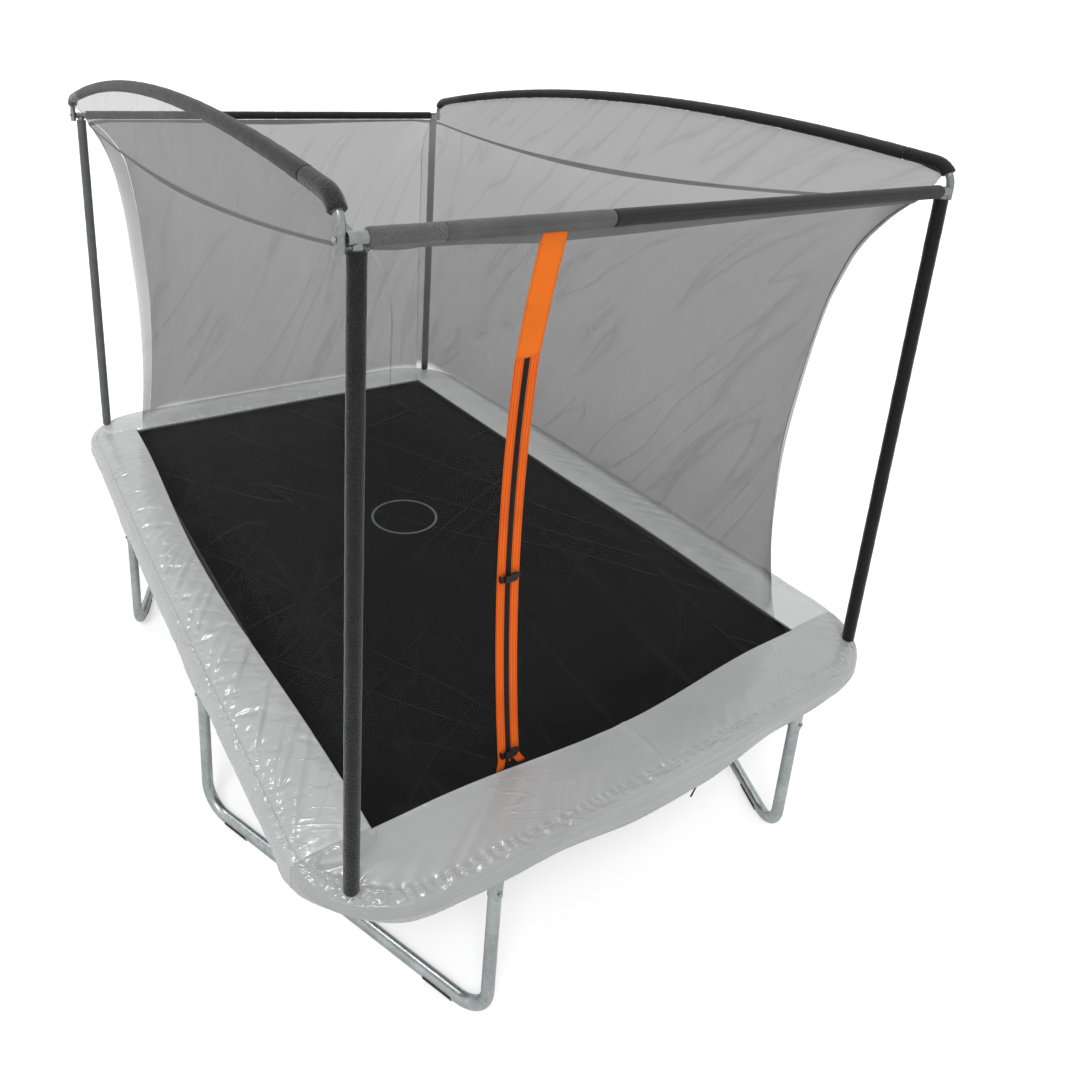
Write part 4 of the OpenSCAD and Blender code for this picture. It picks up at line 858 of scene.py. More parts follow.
def hemBand(z, side):
    # folded border of the mat, doubled and sewn: a flat band that follows the outline
    outer = roundedOutline(mat["halfWidth"] - 0.001, mat["halfLength"] - 0.001, mat["corner"], z)
    inner = roundedOutline(mat["halfWidth"] - mat["hem"], mat["halfLength"] - mat["hem"],
                           mat["corner"] - mat["hem"] * 0.8, z)
    steps = len(outer)
    inner = inner[np.linspace(0, len(inner), steps, endpoint=False).astype(int)]
    rings = []
    for s, lift in ((0, 0.0), (0.03, 1.0), (0.32, 0.85), (0.5, 1.0), (0.68, 0.85), (0.97, 1.0), (1, 0.0)):
        row = outer * (1 - s) + inner * s
        row[:, 2] = z + side * mat["hemThick"] * lift
        rings.append(row)
    rings.append(inner + (0, 0, -side * 0.0003))
    rings.append(outer + (0, 0, -side * 0.0003))
    return np.array(rings)


def closedRings(name, rings, finish):
    # rings of a closed cross-section (rows) that follow a closed outline (columns)
    rows, cols = rings.shape[:2]
    return meshObject(name, rings.reshape(-1, 3), gridFaces(rows, cols, wrapRows=True, wrapCols=True), finish,
                      closed=True, uvs=gridUvs(rings))


hemTop = closedRings("mat_hem_top", hemBand(mat["top"], 1), webbing)
hemUnder = closedRings("mat_hem_under", hemBand(mat["bottom"], -1), webbing)


def springPlaces():
    # where each spring starts on the edge of the mat, and the way it points, by side
    found = {side: [] for side in sides}
    for i in range(mat["sideSprings"]):
        y = (i - (mat["sideSprings"] - 1) / 2) * mat["springPitch"]
        found["right"].append(((mat["halfWidth"], y, mat["springLine"]), (1, 0, 0)))
        found["left"].append(((-mat["halfWidth"], y, mat["springLine"]), (-1, 0, 0)))
    for i in range(mat["endSprings"]):
        x = (i - (mat["endSprings"] - 1) / 2) * mat["springPitch"]
        found["back"].append(((x, mat["halfLength"], mat["springLine"]), (0, 1, 0)))
        found["front"].append(((x, -mat["halfLength"], mat["springLine"]), (0, -1, 0)))
    for corner, (sx, sy) in cornerSigns.items():
        q = math.radians(45)
        x = mat["halfWidth"] - mat["corner"] * (1 - math.cos(q))
        y = mat["halfLength"] - mat["corner"] * (1 - math.sin(q))
        found[corner] = [((sx * x, sy * y, mat["springLine"]), (sx * math.cos(q), sy * math.sin(q), 0))]
    return found


coil = {"sideSpan": 0.1196, "cornerSpan": 0.1206, "clear": 0.0006, "hook": 0.014, "radius": 0.0094, "wire": 0.0016,
        "turns": 24.0}
places = springPlaces()
allPlaces = [p for side in places for p in places[side]]
tabs = runTree("mat_tabs", blockTree(), [np.array(p) - np.array(d) * mat["tabIn"] for p, d in allPlaces],
               [d for _, d in allPlaces], (0, 0, 1), {"Size": mat["tab"], "Finish": webbing})
tabBevel = tabs.modifiers.new("softEdges", "BEVEL")
tabBevel.width, tabBevel.segments, tabBevel.limit_method = 0.0018, 2, "ANGLE"
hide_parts("mat")
for piece in (matPiece, hemTop, hemUnder, tabs):
    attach(piece, "mat")
print("mat stretched, springs:", len(allPlaces))

springCoils = springTree()
for side, rowsOf in places.items():
    span = coil["cornerSpan"] if side in corners else coil["sideSpan"]
    starts = [np.array(p) + np.array(d) * (mat["ringDepth"] + coil["clear"]) for p, d in rowsOf]
    row = runTree(f"springs_{side}", springCoils, starts, [d for _, d in rowsOf], (0, 0, 1), {
        "Coil length": span - 2 * coil["hook"], "Coil radius": coil["radius"], "Wire radius": coil["wire"],
        "Turns": coil["turns"], "Hook length": coil["hook"], "Finish": boltSteel})
    near, way = starts[0], np.array(rowsOf[0][1])
    if side in corners:
        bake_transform(row)
    else:
        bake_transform(row)
    if side == "front":
        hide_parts("springs")
print("springs coiled")


# ---- foam sleeves ----

foam = {"radius": 0.023, "bore": 0.0155, "archBore": 0.0128, "lip": 0.006, "sides": 36, "step": 0.016, "joint": 0.0003,
        "teeHalf": 0.022, "groove": 0.0011, "grooveAt": 3.9}
shades = {"pole_foam_front_left": (0.0115, 0.0115, 0.0125), "pole_foam_front_right": (0.0065, 0.0065, 0.007),
          "pole_foam_back_left": (0.135, 0.142, 0.130), "pole_foam_back_right": (0.022, 0.022, 0.024)}


def tubeFrames(path):
    # side and up vectors at each point of a path, without twist
    path = np.asarray(path, float)
    way = np.gradient(path, axis=0)
    way /= np.linalg.norm(way, axis=1, keepdims=True)
    side = np.cross(way[0], (0, 0, 1) if abs(way[0][2]) < 0.9 else (0, 1, 0))
    sidesOut, ups = [], []
    for w in way:
        side = side - w * side.dot(w)
        side /= np.linalg.norm(side)
        sidesOut.append(side)
        ups.append(np.cross(w, side))
    return np.array(sidesOut), np.array(ups)


def foamTube(name, path, finish, bore=foam["bore"], dents=0.0008, creases=0.0, seed=0.0):
    # sleeve with rolled lips, a glued seam along it, small dents, and creases where the cover is loose
    radius, lip = foam["radius"], foam["lip"]
    path = np.asarray(path, float)
    reach = reachOf(path)
    total = reach[-1]
    body = np.arange(lip * 1.6, total - lip * 1.6, foam["step"])
    outer = [(0.0, radius - lip), (lip * 0.12, radius - lip * 0.45), (lip * 0.5, radius - lip * 0.12), (lip, radius)]
    rings = outer + [(s, radius) for s in body] + [(total - s, r) for s, r in reversed(outer)]
    count = max(2, int(total / 0.09))
    rings += [(total - s, bore) for s in np.linspace(0, total, count)]
    at = np.array([s for s, _ in rings])
    centre = rowsAt(at, reach, path)[:, None]
    side, up = (rowsAt(at, reach, vectors)[:, None] for vectors in tubeFrames(path))
    angles = np.linspace(0, 2 * math.pi, foam["sides"], endpoint=False)
    radii = np.array([r for _, r in rings])[:, None] * np.ones((1, len(angles)))
    isOuter = (np.arange(len(rings)) < len(rings) - count)[:, None] & (radii > radius - lip * 0.2)
    turned = side * np.cos(angles)[None, :, None] + up * np.sin(angles)[None, :, None]
    shape = dents * wave(centre + turned * radii[..., None], (26, 26, 26), seed)
    if creases:
        unrolled = np.stack(np.broadcast_arrays(at[:, None], np.cos(angles)[None], np.sin(angles)[None]), axis=2)
        shape = shape + creases * wave(unrolled, (34, 1.1, 1.1), seed + 4)
    shape = shape - foam["groove"] * np.exp(-((angles[None, :] - foam["grooveAt"]) / 0.09) ** 2)
    bent = radii + np.where(isOuter, np.minimum(shape, 0.0006), 0)
    grid = centre + turned * bent[..., None]
    rows, cols = grid.shape[:2]
    uvs = uvPairs(np.linspace(0, 2 * math.pi * radius, cols), at)
    return meshObject(name, grid.reshape(-1, 3), gridFaces(rows, cols, wrapRows=True, wrapCols=True), finish,
                      closed=True, uvs=uvs)


def placeFoam(piece, node=None):
    if node:
        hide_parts(node)
    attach(piece, "frame")


poleX, poleY, railZ = 1.09935, 1.70935, 2.5
for index, corner in enumerate(corners):
    name = f"pole_foam_{corner}"
    sx, sy = cornerSigns[corner]
    low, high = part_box(name)
    heights = np.linspace(low.z, high.z, 60)
    finish = foamFinish(f"foam_{corner}", shades[name], 0.35 if corner == "back_left" else 1.0)
    path = [(sx * poleX, sy * poleY, z) for z in heights]
    placeFoam(foamTube(name + "_sleeve", path, finish, seed=3.0 * index), name)

railEnd = poleX - foam["teeHalf"] - foam["joint"]
foamSplits = [("top_rail_foam_front_collar", -1, -railEnd, -0.886, (0.112, 0.112, 0.113), "foam"),
              ("top_rail_foam_front_grey", -1, -0.8865, -0.3903, (0.098, 0.098, 0.099), "sleeve"),
              ("top_rail_foam_front_black", -1, -0.3897, railEnd, (0.0125, 0.0125, 0.0138), "sleeve"),
              ("top_rail_foam_back_left", 1, -railEnd, -0.0003, (0.016, 0.016, 0.017), "foam"),
              ("top_rail_foam_back_right", 1, 0.0003, railEnd, (0.013, 0.013, 0.014), "foam")]
for index, (name, sy, start, end, shade, kind) in enumerate(foamSplits):
    finish = foamFinish(name + "_skin", shade, 0.3) if kind == "foam" else sleeveFinish(name + "_skin", shade)
    path = [(x, sy * poleY, railZ) for x in np.linspace(start, end, 50)]
    piece = foamTube(name, path, finish, creases=0.0006 if kind == "sleeve" else 0.0, seed=40 + 5.0 * index)
    placeFoam(piece, "top_rail_foam" if index == 0 else None)


def archPath(start, end, steps):
    # centreline of the left arch between two distances along Y
    return [(-arch["x"], y, arch["centreZ"] + math.sqrt(arch["radius"] ** 2 - y * y))
            for y in np.linspace(start, end, steps)]


def archEndPath(sign, curveFrom, turnShare=0.6):
    # foam at the end of an arch: the last of the long curve and part of the bend
    points = archPath(sign * curveFrom, sign * arch["radius"] * math.sin(arch["bendAngle"]), 16)
    turn = (math.pi / 2 - arch["bendAngle"]) * turnShare
    for k in range(1, 13):
        q = math.pi / 2 - arch["bendAngle"] - turn * k / 12
        points.append((-arch["x"], sign * (arch["bendY"] + arch["bendRadius"] * math.cos(q)),
                       arch["bendZ"] + arch["bendRadius"] * math.sin(q)))
    return points


sleeveStart, sleeveEnd = -1.530, 1.410
archShade = {"left": ((0.0155, 0.016, 0.0165), (0.020, 0.020, 0.021), (0.085, 0.088, 0.086)),
             "right": ((0.0105, 0.0100, 0.0105), (0.0085, 0.0085, 0.009), (0.022, 0.022, 0.024))}
for index, (side, (longShade, frontShade, backShade)) in enumerate(archShade.items()):
    flip = -1 if side == "right" else 1
    sleeve = sleeveFinish(f"arch_{side}_sleeve", longShade)
    runs = [("sleeve", archPath(sleeveStart, sleeveEnd, 200), sleeve, 0.0009),
            ("front", archEndPath(-1, -sleeveStart + foam["joint"]), foamFinish(f"arch_{side}_front", frontShade), 0.0),
            ("back", archEndPath(1, sleeveEnd + foam["joint"]), foamFinish(f"arch_{side}_back", backShade), 0.0)]
    for label, path, finish, creases in runs:
        path = [(x * flip, y, z) for x, y, z in path]
        piece = foamTube(f"arch_foam_{side}_{label}", path, finish, bore=foam["archBore"], creases=creases,
                         seed=70 + 9.0 * index)
        placeFoam(piece, f"arch_foam_{side}" if label == "sleeve" else None)
print("foam sleeves on poles, rails and arches")


# ---- entrance: orange strip and zip ----

door = {"zipTop": 1.44765, "panelTop": 2.4767, "half": 0.041, "zipHalf": 0.010, "joint": 0.0003, "bandOut": 0.0006,
        "bandThick": 0.0016, "tabLength": 0.046, "stitchInset": 0.004, "stitch": 0.0045, "toothPitch": 0.0032}
orange = bandFinish("orangeBand", (0.97, 0.150, 0.0055), 0.0030, ribs=0.55, roughness=0.75, sheen=0.04, lines=0.0103)
orangePanel = bandFinish("orangePanel", (0.97, 0.190, 0.006), 0.0042, ribs=0.3, roughness=0.7, sheen=0.04)
orangeThread = bandFinish("orangeThread", (0.55, 0.085, 0.004), 0.002)
zipDark = bandFinish("zipTape", (0.020, 0.0075, 0.0070), 0.0024, sheen=0.05)


def doorPoint(x, out, z):
    # place on the front net: x across the door, out from the cloth, z up along the leaning zip
    turn = math.asin((z - net["bowZ"]) / net["bowRadius"])
    y = -net["bowY"] - net["bowRadius"] + (net["bowRadius"] - out) * math.cos(turn)
    up = net["bowZ"] + (net["bowRadius"] - out) * math.sin(turn)
    c, s = math.cos(net["lean"]), math.sin(net["lean"])
    return (net["doorX"] + x * c - up * s, y, net["low"] + x * s + up * c)


def stripLoft(name, left, right, out, thick, start, end, finish, bendAway=lambda z: (0.0, 0.0),
              crown=0.0):
    # closed strip on the bow: rounded long edges, and a way to lead its lower end aside
    zs = np.linspace(start, end, 150)
    mid, half = (left + right) / 2, (right - left) / 2
    loop = [(u, 1.0 - 0.55 * abs(u) ** 8) for u in np.linspace(-1, 1, 9)] + [(u, 0.0) for u in np.linspace(1, -1, 5)]
    points = []
    for z in zs:
        shift, lift = bendAway(z)
        points.append([doorPoint(mid + half * u + shift, out + lift + thick * h + crown * (1 - u * u) * (h > 0), z)
                       for u, h in loop])
    grid = np.array(points)
    rows, cols = grid.shape[:2]
    faces = gridFaces(rows, cols, wrapCols=True)
    faces += [tuple(range(cols)), tuple((rows - 1) * cols + j for j in reversed(range(cols)))]
    across = np.array([mid + half * u for u, _ in loop])
    return meshObject(name, grid.reshape(-1, 3), faces, finish, closed=True, uvs=uvPairs(across, zs))


def tabLead(side):
    # the sewn-down tab under each band leads away from the zip
    def lead(z):
        share = max(0.0, (door["tabLength"] - z) / door["tabLength"]) ** 1.4
        return ((0.026 if side > 0 else -0.012) * share, 0.0015 * share)
    return lead


bands = []
for side, label in ((-1, "left"), (1, "right")):
    inner, outer = side * (door["zipHalf"] + door["joint"]), side * door["half"]
    bands.append(stripLoft(f"door_band_{label}", min(inner, outer), max(inner, outer), door["bandOut"],
                           door["bandThick"], 0.002, door["zipTop"], orange, bendAway=tabLead(side), crown=0.0006))
panelRows = []
panelLow = net["low"] + (door["zipTop"] + door["joint"]) * math.cos(net["lean"])
for t in np.linspace(0, 1, 44):
    z = panelLow + (door["panelTop"] - panelLow) * t
    row = []
    for u in np.linspace(-1, 1, 15):
        tilt = u * door["half"] * math.tan(net["lean"]) * (1 - t)
        soft = 0.0012 * math.sin(6.0 * u + 9 * t) * (1 - t) * t * 2 + 0.0010 * (1 - u * u)
        row.append((doorX(z) + u * door["half"], -bowAt(z) - 0.0006 - soft, z + tilt))
    panelRows.append(row)
panelRows = np.array(panelRows)
panel = gridObject("door_panel_cloth", panelRows, orangePanel)
panelWall = panel.modifiers.new("thickness", "SOLIDIFY")
panelWall.thickness, panelWall.offset = 0.0016, 1.0

tape = stripLoft("zip_tape_cloth", -door["zipHalf"], door["zipHalf"], 0.0003, 0.0008, 0.010, door["zipTop"], zipDark)
seamLines = []
for x in (-door["half"] + door["stitchInset"], -door["zipHalf"] - door["stitchInset"],
          door["zipHalf"] + door["stitchInset"], door["half"] - door["stitchInset"]):
    lead = tabLead(1 if x > 0 else -1)
    seamLines.append([doorPoint(x + lead(z)[0], door["bandOut"] + door["bandThick"] + 0.0005 + lead(z)[1], z)
                      for z in np.linspace(0.006, door["zipTop"] - 0.004, 200)])
for edge in (0, -1):
    seamLines.append(panelRows[:, 7] * (1 - 0.9) + panelRows[:, edge] * 0.9 + (0, -0.0024, 0))
for across in (0.004, 0.012):
    z = panelLow + across
    seamLines.append([(doorX(z) + u * door["half"] * 0.92, -bowAt(z) - 0.0030,
                       z + u * door["half"] * math.tan(net["lean"])) for u in np.linspace(-1, 1, 20)])
stitchPoints, stitchWays = [], []
for line in seamLines:
    at, way, _ = spacedAlong(line, door["stitch"] * 1.5)
    stitchPoints += list(at)
    stitchWays += list(way)
sewing = stitchTree()  # the pads are sewn with it too
doorStitches = runTree("door_stitches", sewing, stitchPoints, stitchWays, (0, -1, 0),
                       {"Length": door["stitch"], "Thread": 0.00045, "Finish": orangeThread})

teethPoints, teethWays = [], []
for index, z in enumerate(np.arange(0.012, door["zipTop"] - 0.008, door["toothPitch"] / 2)):
    x = 0.0011 * (1 if index % 2 else -1)
    teethPoints.append(doorPoint(x, 0.0015, z))
    teethWays.append(np.array(doorPoint(0.01, 0.0015, z)) - np.array(doorPoint(-0.01, 0.0015, z)))
teeth = runTree("zip_teeth", blockTree(), teethPoints, teethWays, (0, -1, 0),
                {"Size": (0.0034, 0.0011, 0.0022), "Finish": blackPlastic})

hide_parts("door_bands")
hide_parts("door_panel")
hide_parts("zip_tape")
for piece in (*bands, tape, doorStitches, teeth):
    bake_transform(piece)
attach(panel, "frame")
print("entrance sewn, stitches:", len(stitchPoints), "teeth:", len(teethPoints))


# ---- padded covers round the rim ----

pad = {"inX": 0.960, "inY": 1.556, "outX": 1.220, "outY": 1.830, "round": 0.354, "bulge": 0.020, "gap": 0.0002,
       "tip": 0.006, "under": 0.676, "edge": 0.016, "thick": 0.022, "skirtOut": 0.004, "seam": 0.030, "turn": 0.645,
       "low": 0.578, "tuck": 0.025, "drawnIn": 0.009, "wall": 0.0028, "roll": 0.014, "pillow": 0.0030, "pitch": 0.011,
       "topPoints": 20, "dropPoints": 10, "fan": 40, "sidePost": 0.613, "endPost": 0.680, "postClear": (0.03, 0.24),
       "endHem": 0.004, "endHemRise": 0.034, "cornerHem": 0.038, "cornerHemFall": 0.006, "sideHem": 0.032,
       "stitch": 0.0058, "thread": 0.0006, "stitchPitch": 0.0085}
# how far each inner edge is drawn out, where, and over what half length
padBow = {"front": (0.046, 0.0, 0.78), "back": (0.010, 0.1, 0.8), "left": (0.055, 0.0, 1.5),
          "right": (0.018, -0.7, 0.75)}
slack = {"frames": 18, "pressure": 1.6, "shrink": -0.006, "seed": 0.0007, "cap": 0.0045}
crease = {"pitch": (0.05, 0.14), "reach": (0.15, 0.30), "lean": (1.1, 1.8), "height": (0.0018, 0.0044),
          "width": (0.016, 0.030), "pucker": 0.0018, "lap": 0.0020, "swing": 0.0060, "pull": 0.0021}
dimple = {"reach": 0.055, "depth": 0.0050, "folds": 11, "foldHigh": 0.0016, "foldAt": 0.042, "foldWide": 0.024}
creased = {"front": 0.5, "back": 0.6, "left": 1.0, "right": 0.7}
# each side's cover has its own grey though all are one vinyl: the front is painted darker as shade, the back and right
# are painted lighter as light, and the left lies between
vinylsShadedBySide = {side: vinylFinish(f"paleVinylShadedBySide_{side}", (shade, shade * 1.015, shade * 1.02))
          for side, shade in (("front", 0.38), ("back", 0.56), ("left", 0.475), ("right", 0.56))}
vinylThread = bandFinish("paleThread", (0.62, 0.63, 0.62), 0.002)


def bump(t):
    return math.cos(math.pi / 2 * min(abs(t), 1)) ** 2


def cornerHit(start, way):
    # where a ray in the front left quarter meets the rounded outline of the frame
    outer, front, radius = pad["outX"], pad["outY"], pad["round"]
    toSide = (-outer - start[0]) / way[0] if way[0] < -1e-6 else 1e9
    toFront = (-front - start[1]) / way[1] if way[1] < -1e-6 else 1e9
    centre = np.array([-outer + radius, -front + radius])
    rel = start - centre
    b = rel.dot(way)
    toArc = -b + math.sqrt(max(b * b - rel.dot(rel) + radius * radius, 0))
    pFront, pSide = start + toFront * way, start + toSide * way
    if pFront[0] >= centre[0]:
        return pFront
    return pSide if pSide[1] >= centre[1] else start + toArc * way


def bowed(side, along):
    amount, middle, reach = padBow[side]
    return amount * bump((along - middle) / reach)


def roundedAt(along, half, across):
    # level distance of the rounded outline from the middle line that it runs beside
    past = max(0.0, abs(along) - (half - pad["round"]))
    return across - pad["round"] + math.sqrt(pad["round"] ** 2 - past ** 2)


def padSection(start, end, lift, tuck, rise):
    # outer skin from the inner lower edge over the top and down the skirt, and the side that faces down and in
    start, end = np.array(start), np.array(end)
    width = float(np.linalg.norm(end - start))
    way = (end - start) / width
    under = pad["under"]
    high = under + pad["edge"] + (pad["thick"] - pad["edge"]) * lift
    seamAt, shell, low = width - pad["seam"], width + pad["skirtOut"], pad["low"] + rise
    keysX = [0.008, width * 0.2, width * 0.5, width - 0.06, seamAt, shell - 0.010]
    keysZ = [under + pad["edge"] * 0.9, (high + under + pad["edge"]) / 2, high, high - 0.001, high - 0.003,
             high - 0.006]
    skin = [(0.003, under + 0.0005), (0.0005, under + 0.005), (0.0, under + 0.0085), (0.002, under + 0.012)]
    for x in np.linspace(0.008, seamAt - 0.008, pad["topPoints"]):
        puff = pad["pillow"] * math.sin(math.pi * min(1, x / seamAt)) ** 0.8 * lift
        skin.append((x, float(np.interp(x, keysX, keysZ)) + puff))
    skin += [(seamAt - 0.003, high - 0.0044), (seamAt, high - 0.0066), (seamAt + 0.003, high - 0.0044)]
    for x in np.linspace(seamAt + 0.007, shell - pad["roll"], 4):
        skin.append((x, float(np.interp(x, keysX, keysZ))))
    rollTop = skin[-1][1]
    for q in (22, 45, 67, 90):
        a = math.radians(q)
        skin.append((shell - pad["roll"] + pad["roll"] * math.sin(a),
                     rollTop - pad["roll"] + pad["roll"] * math.cos(a)))
    dropFrom = skin[-1][1]
    for z in np.linspace(dropFrom, low, pad["dropPoints"] + 1)[1:]:
        skin.append((shell - tuck * max(0.0, (pad["turn"] - z) / (pad["turn"] - low)), z))
    inside = []
    for index, (x, z) in enumerate(skin):
        if index < 4 or x < shell - pad["roll"] - 0.001:
            inside.append((max(x, 0.003), under))
        elif z > under - 0.002:
            inside.append((min(x, shell - pad["wall"] - 0.004), under))
        else:
            inside.append((x - pad["wall"], z))
    place = lambda chain: [(start[0] + way[0] * x, start[1] + way[1] * x, z) for x, z in chain]
    return place(skin), place(inside)


def sideStations(side):
    count = int(2 * pad["inY"] / pad["pitch"])
    stations = []
    for i in range(count + 1):
        t = 1 - 2 * i / count
        y = t * (pad["inY"] - pad["gap"])
        outline = roundedAt(y, pad["outY"], pad["outX"]) + 0.6 * pad["bulge"] * bump(t)
        clear = smoothStep(abs(abs(y) - pad["sidePost"]), *pad["postClear"]) * smoothStep(1.0 - abs(t), 0.0, 0.1)
        stations.append(((-pad["inX"] - bowed(side, y), y), (-outline, y), 0.3 + 0.7 * math.sqrt(1 - t ** 4),
                         pad["drawnIn"] * float(clear), pad["sideHem"]))
    return stations


def endStations(side):
    left, right, steps, fan = [], [], int(pad["inX"] / pad["pitch"]), pad["fan"]
    edge = -pad["inY"] - pad["gap"]
    for i in range(steps + 1):
        x = (i / steps) * (pad["inX"] - pad["tip"])
        outline = roundedAt(x, pad["outX"], pad["outY"]) + pad["bulge"] * bump(x / pad["inX"])
        clear = smoothStep(abs(x - pad["endPost"]), *pad["postClear"]) * smoothStep(x, 0.1, 0.5)
        rise = pad["endHem"] + pad["endHemRise"] * float(smoothStep(x, 0.12, 0.62))
        for half, sign in ((left, -1), (right, 1)):
            half.append(((sign * x, -pad["inY"] - bowed(side, sign * x)), (sign * x, -outline), 1.0,
                         pad["drawnIn"] * float(clear), rise))
    for i in range(1, fan + 1):
        q = math.pi / 2 * i / fan
        way = np.array([-math.sin(q), -math.cos(q)])
        start = np.array([-pad["inX"] + pad["tip"] - pad["tip"] * math.sin(q), edge + pad["tip"] * (1 - math.cos(q))])
        hit = cornerHit(start, way)
        tuck = pad["drawnIn"] * (1 - i / fan) + pad["tuck"] * math.sin(math.pi * i / fan) ** 1.3 * (0.5 + 0.5 * i / fan)
        for half, sign in ((left, 1), (right, -1)):
            half.append(((sign * start[0], min(start[1], edge)), (sign * hit[0], min(hit[1], edge)),
                         1 - 0.7 * (i / fan) ** 6, tuck, pad["cornerHem"] - pad["cornerHemFall"] * i / fan))
    return right[:0:-1] + left


def padGrids(stations):
    made = [padSection(*station) for station in stations]
    return np.array([skin for skin, _ in made]), np.array([inside for _, inside in made])


seamCol = 4 + pad["topPoints"] + 1
padPieces = {"left": (*padGrids(sideStations("left")), 11.0),
             "right": (*(grid * (-1, 1, 1) for grid in padGrids(sideStations("right"))), 23.0),
             "front": (*padGrids(endStations("front")), 37.0),
             "back": (*(grid * (1, -1, 1) for grid in padGrids(endStations("back"))), 51.0)}


def roughSkin(skin, seed):
    # small slanted waves that tell the slack cover which way to fold
    x, y, z = np.moveaxis(skin, 2, 0)
    slanted = np.stack([x * 0.8 - y * 0.6, x * 0.6 + y * 0.8, z], axis=2)
    shape = wave(slanted, (4.0, 15.0, 6.0), seed)
    return skin + np.array((0, 0, 1)) * (slack["seed"] * shape)[..., None]


def outwardOf(skin):
    # level unit vectors from the inner edge of a pad to its skirt, one for each row
    way = skin[:, -pad["dropPoints"] - 2] - skin[:, 4]
    way[:, 2] = 0
    return (way / np.linalg.norm(way, axis=1, keepdims=True))[:, None]


def slackCreases(skin, seed, strength):
    # folds that start at the stitched seam and run slanting to the inner edge, a lap where the two halves of a
    # cover are joined, lines of pull along the skirt and waves at its hem
    rng = np.random.default_rng(int(seed))
    fineSeam, rollCol = 2 * seamCol, skin.shape[1] - 1 - 2 * pad["dropPoints"]
    along = reachOf(skin[:, fineSeam])
    across = np.linalg.norm(skin[:, :fineSeam + 1] - skin[:, fineSeam:fineSeam + 1], axis=2)
    lift = np.zeros(across.shape)
    middle = along[len(along) // 2]
    at = rng.uniform(*crease["pitch"])
    while at < along[-1] - 0.03:
        # the folds are short and nearly straight across in the first half and long and slanting in the second
        late = float(smoothStep(at, middle * 0.6, middle * 1.2))
        reach = rng.uniform(*crease["reach"]) * (0.45 + 0.55 * late)
        lean = rng.uniform(*crease["lean"]) * (0.3 + 0.7 * late)
        height, width = rng.uniform(*crease["height"]), rng.uniform(*crease["width"])
        bow = rng.uniform(-1.2, 1.2)
        off = along[:, None] - at + across * lean + bow * across ** 2
        fade = smoothStep(across, 0.002, 0.03) * (1 - smoothStep(across, reach * 0.45, reach))
        hollow = 0.55 * np.exp(-((off - 1.9 * width) / (1.5 * width)) ** 2)
        lift += height * fade * (np.exp(-(off / width) ** 2) - hollow)
        at += rng.uniform(*crease["pitch"]) * (0.6 + 0.4 * late)
    wander = np.sin(along / 0.05 + seed) + 0.6 * np.sin(along / 0.083)
    gathered = np.sin(along / 0.0058 + 2.2 * wander)[:, None]
    pucker = crease["pucker"] * np.exp(-(across / 0.016) ** 2) * gathered
    edgeFade = smoothStep(along, 0, 0.04) * smoothStep(along[-1] - along, 0, 0.04)
    fromJoin = (along - middle)[:, None] + 0.0 * across
    joined = crease["lap"] * smoothStep(fromJoin, -0.0015, 0.0015) * (1 - smoothStep(fromJoin, 0.002, 0.05))
    joined = (joined - 0.0012 * np.exp(-(fromJoin / 0.004) ** 2)) * smoothStep(across, 0.004, 0.012)
    skin = skin.copy()
    skin[:, :fineSeam + 1, 2] += (lift * strength + pucker + joined) * edgeFade[:, None]
    beyond = skin[:, fineSeam + 1:fineSeam + 13]
    rolled = np.linalg.norm(beyond - skin[:, fineSeam:fineSeam + 1], axis=2)
    beyond[..., 2] += crease["pucker"] * np.exp(-(rolled / 0.013) ** 2) * gathered * edgeFade[:, None]
    down = np.linspace(0, 1, skin.shape[1] - rollCol)[None, :]
    line = np.stack([along, along * 0 + seed, along * 0], axis=1)
    level = lambda pitch, more: 0.5 + 0.5 * wave(line, (pitch, 1, 1), seed + more)
    swing = level(3.1, 0) + 0.35 * level(11.0, 5)
    outward = outwardOf(skin)
    skin[:, rollCol:] += outward * (crease["swing"] * (swing * edgeFade)[:, None] * down ** 1.5)[..., None]
    skin[:, rollCol:, 2] += 0.004 * ((swing - 0.6) * edgeFade)[:, None] * down ** 3
    # lines of pull start on the roll and sink slowly along the skirt
    skirtFrom = fineSeam + 4
    depth = np.linspace(0, 1, skin.shape[1] - skirtFrom)[None, :]
    pull = np.zeros((len(along), skin.shape[1] - skirtFrom))
    start = -0.3
    while start < along[-1]:
        span, drop, high = rng.uniform(0.35, 0.8), rng.uniform(-0.35, 0.35), rng.uniform(0.15, 0.75)
        share = (along[:, None] - start) / span
        line = high + drop * (share - 0.5)
        pull += np.exp(-((depth - line) / 0.045) ** 2) * smoothStep(share, 0, 0.3) * smoothStep(1 - share, 0, 0.3)
        start += rng.uniform(0.07, 0.2)
    skin[:, skirtFrom:] += outward * (crease["pull"] * np.minimum(pull, 1.3) * edgeFade[:, None])[..., None]
    return skin


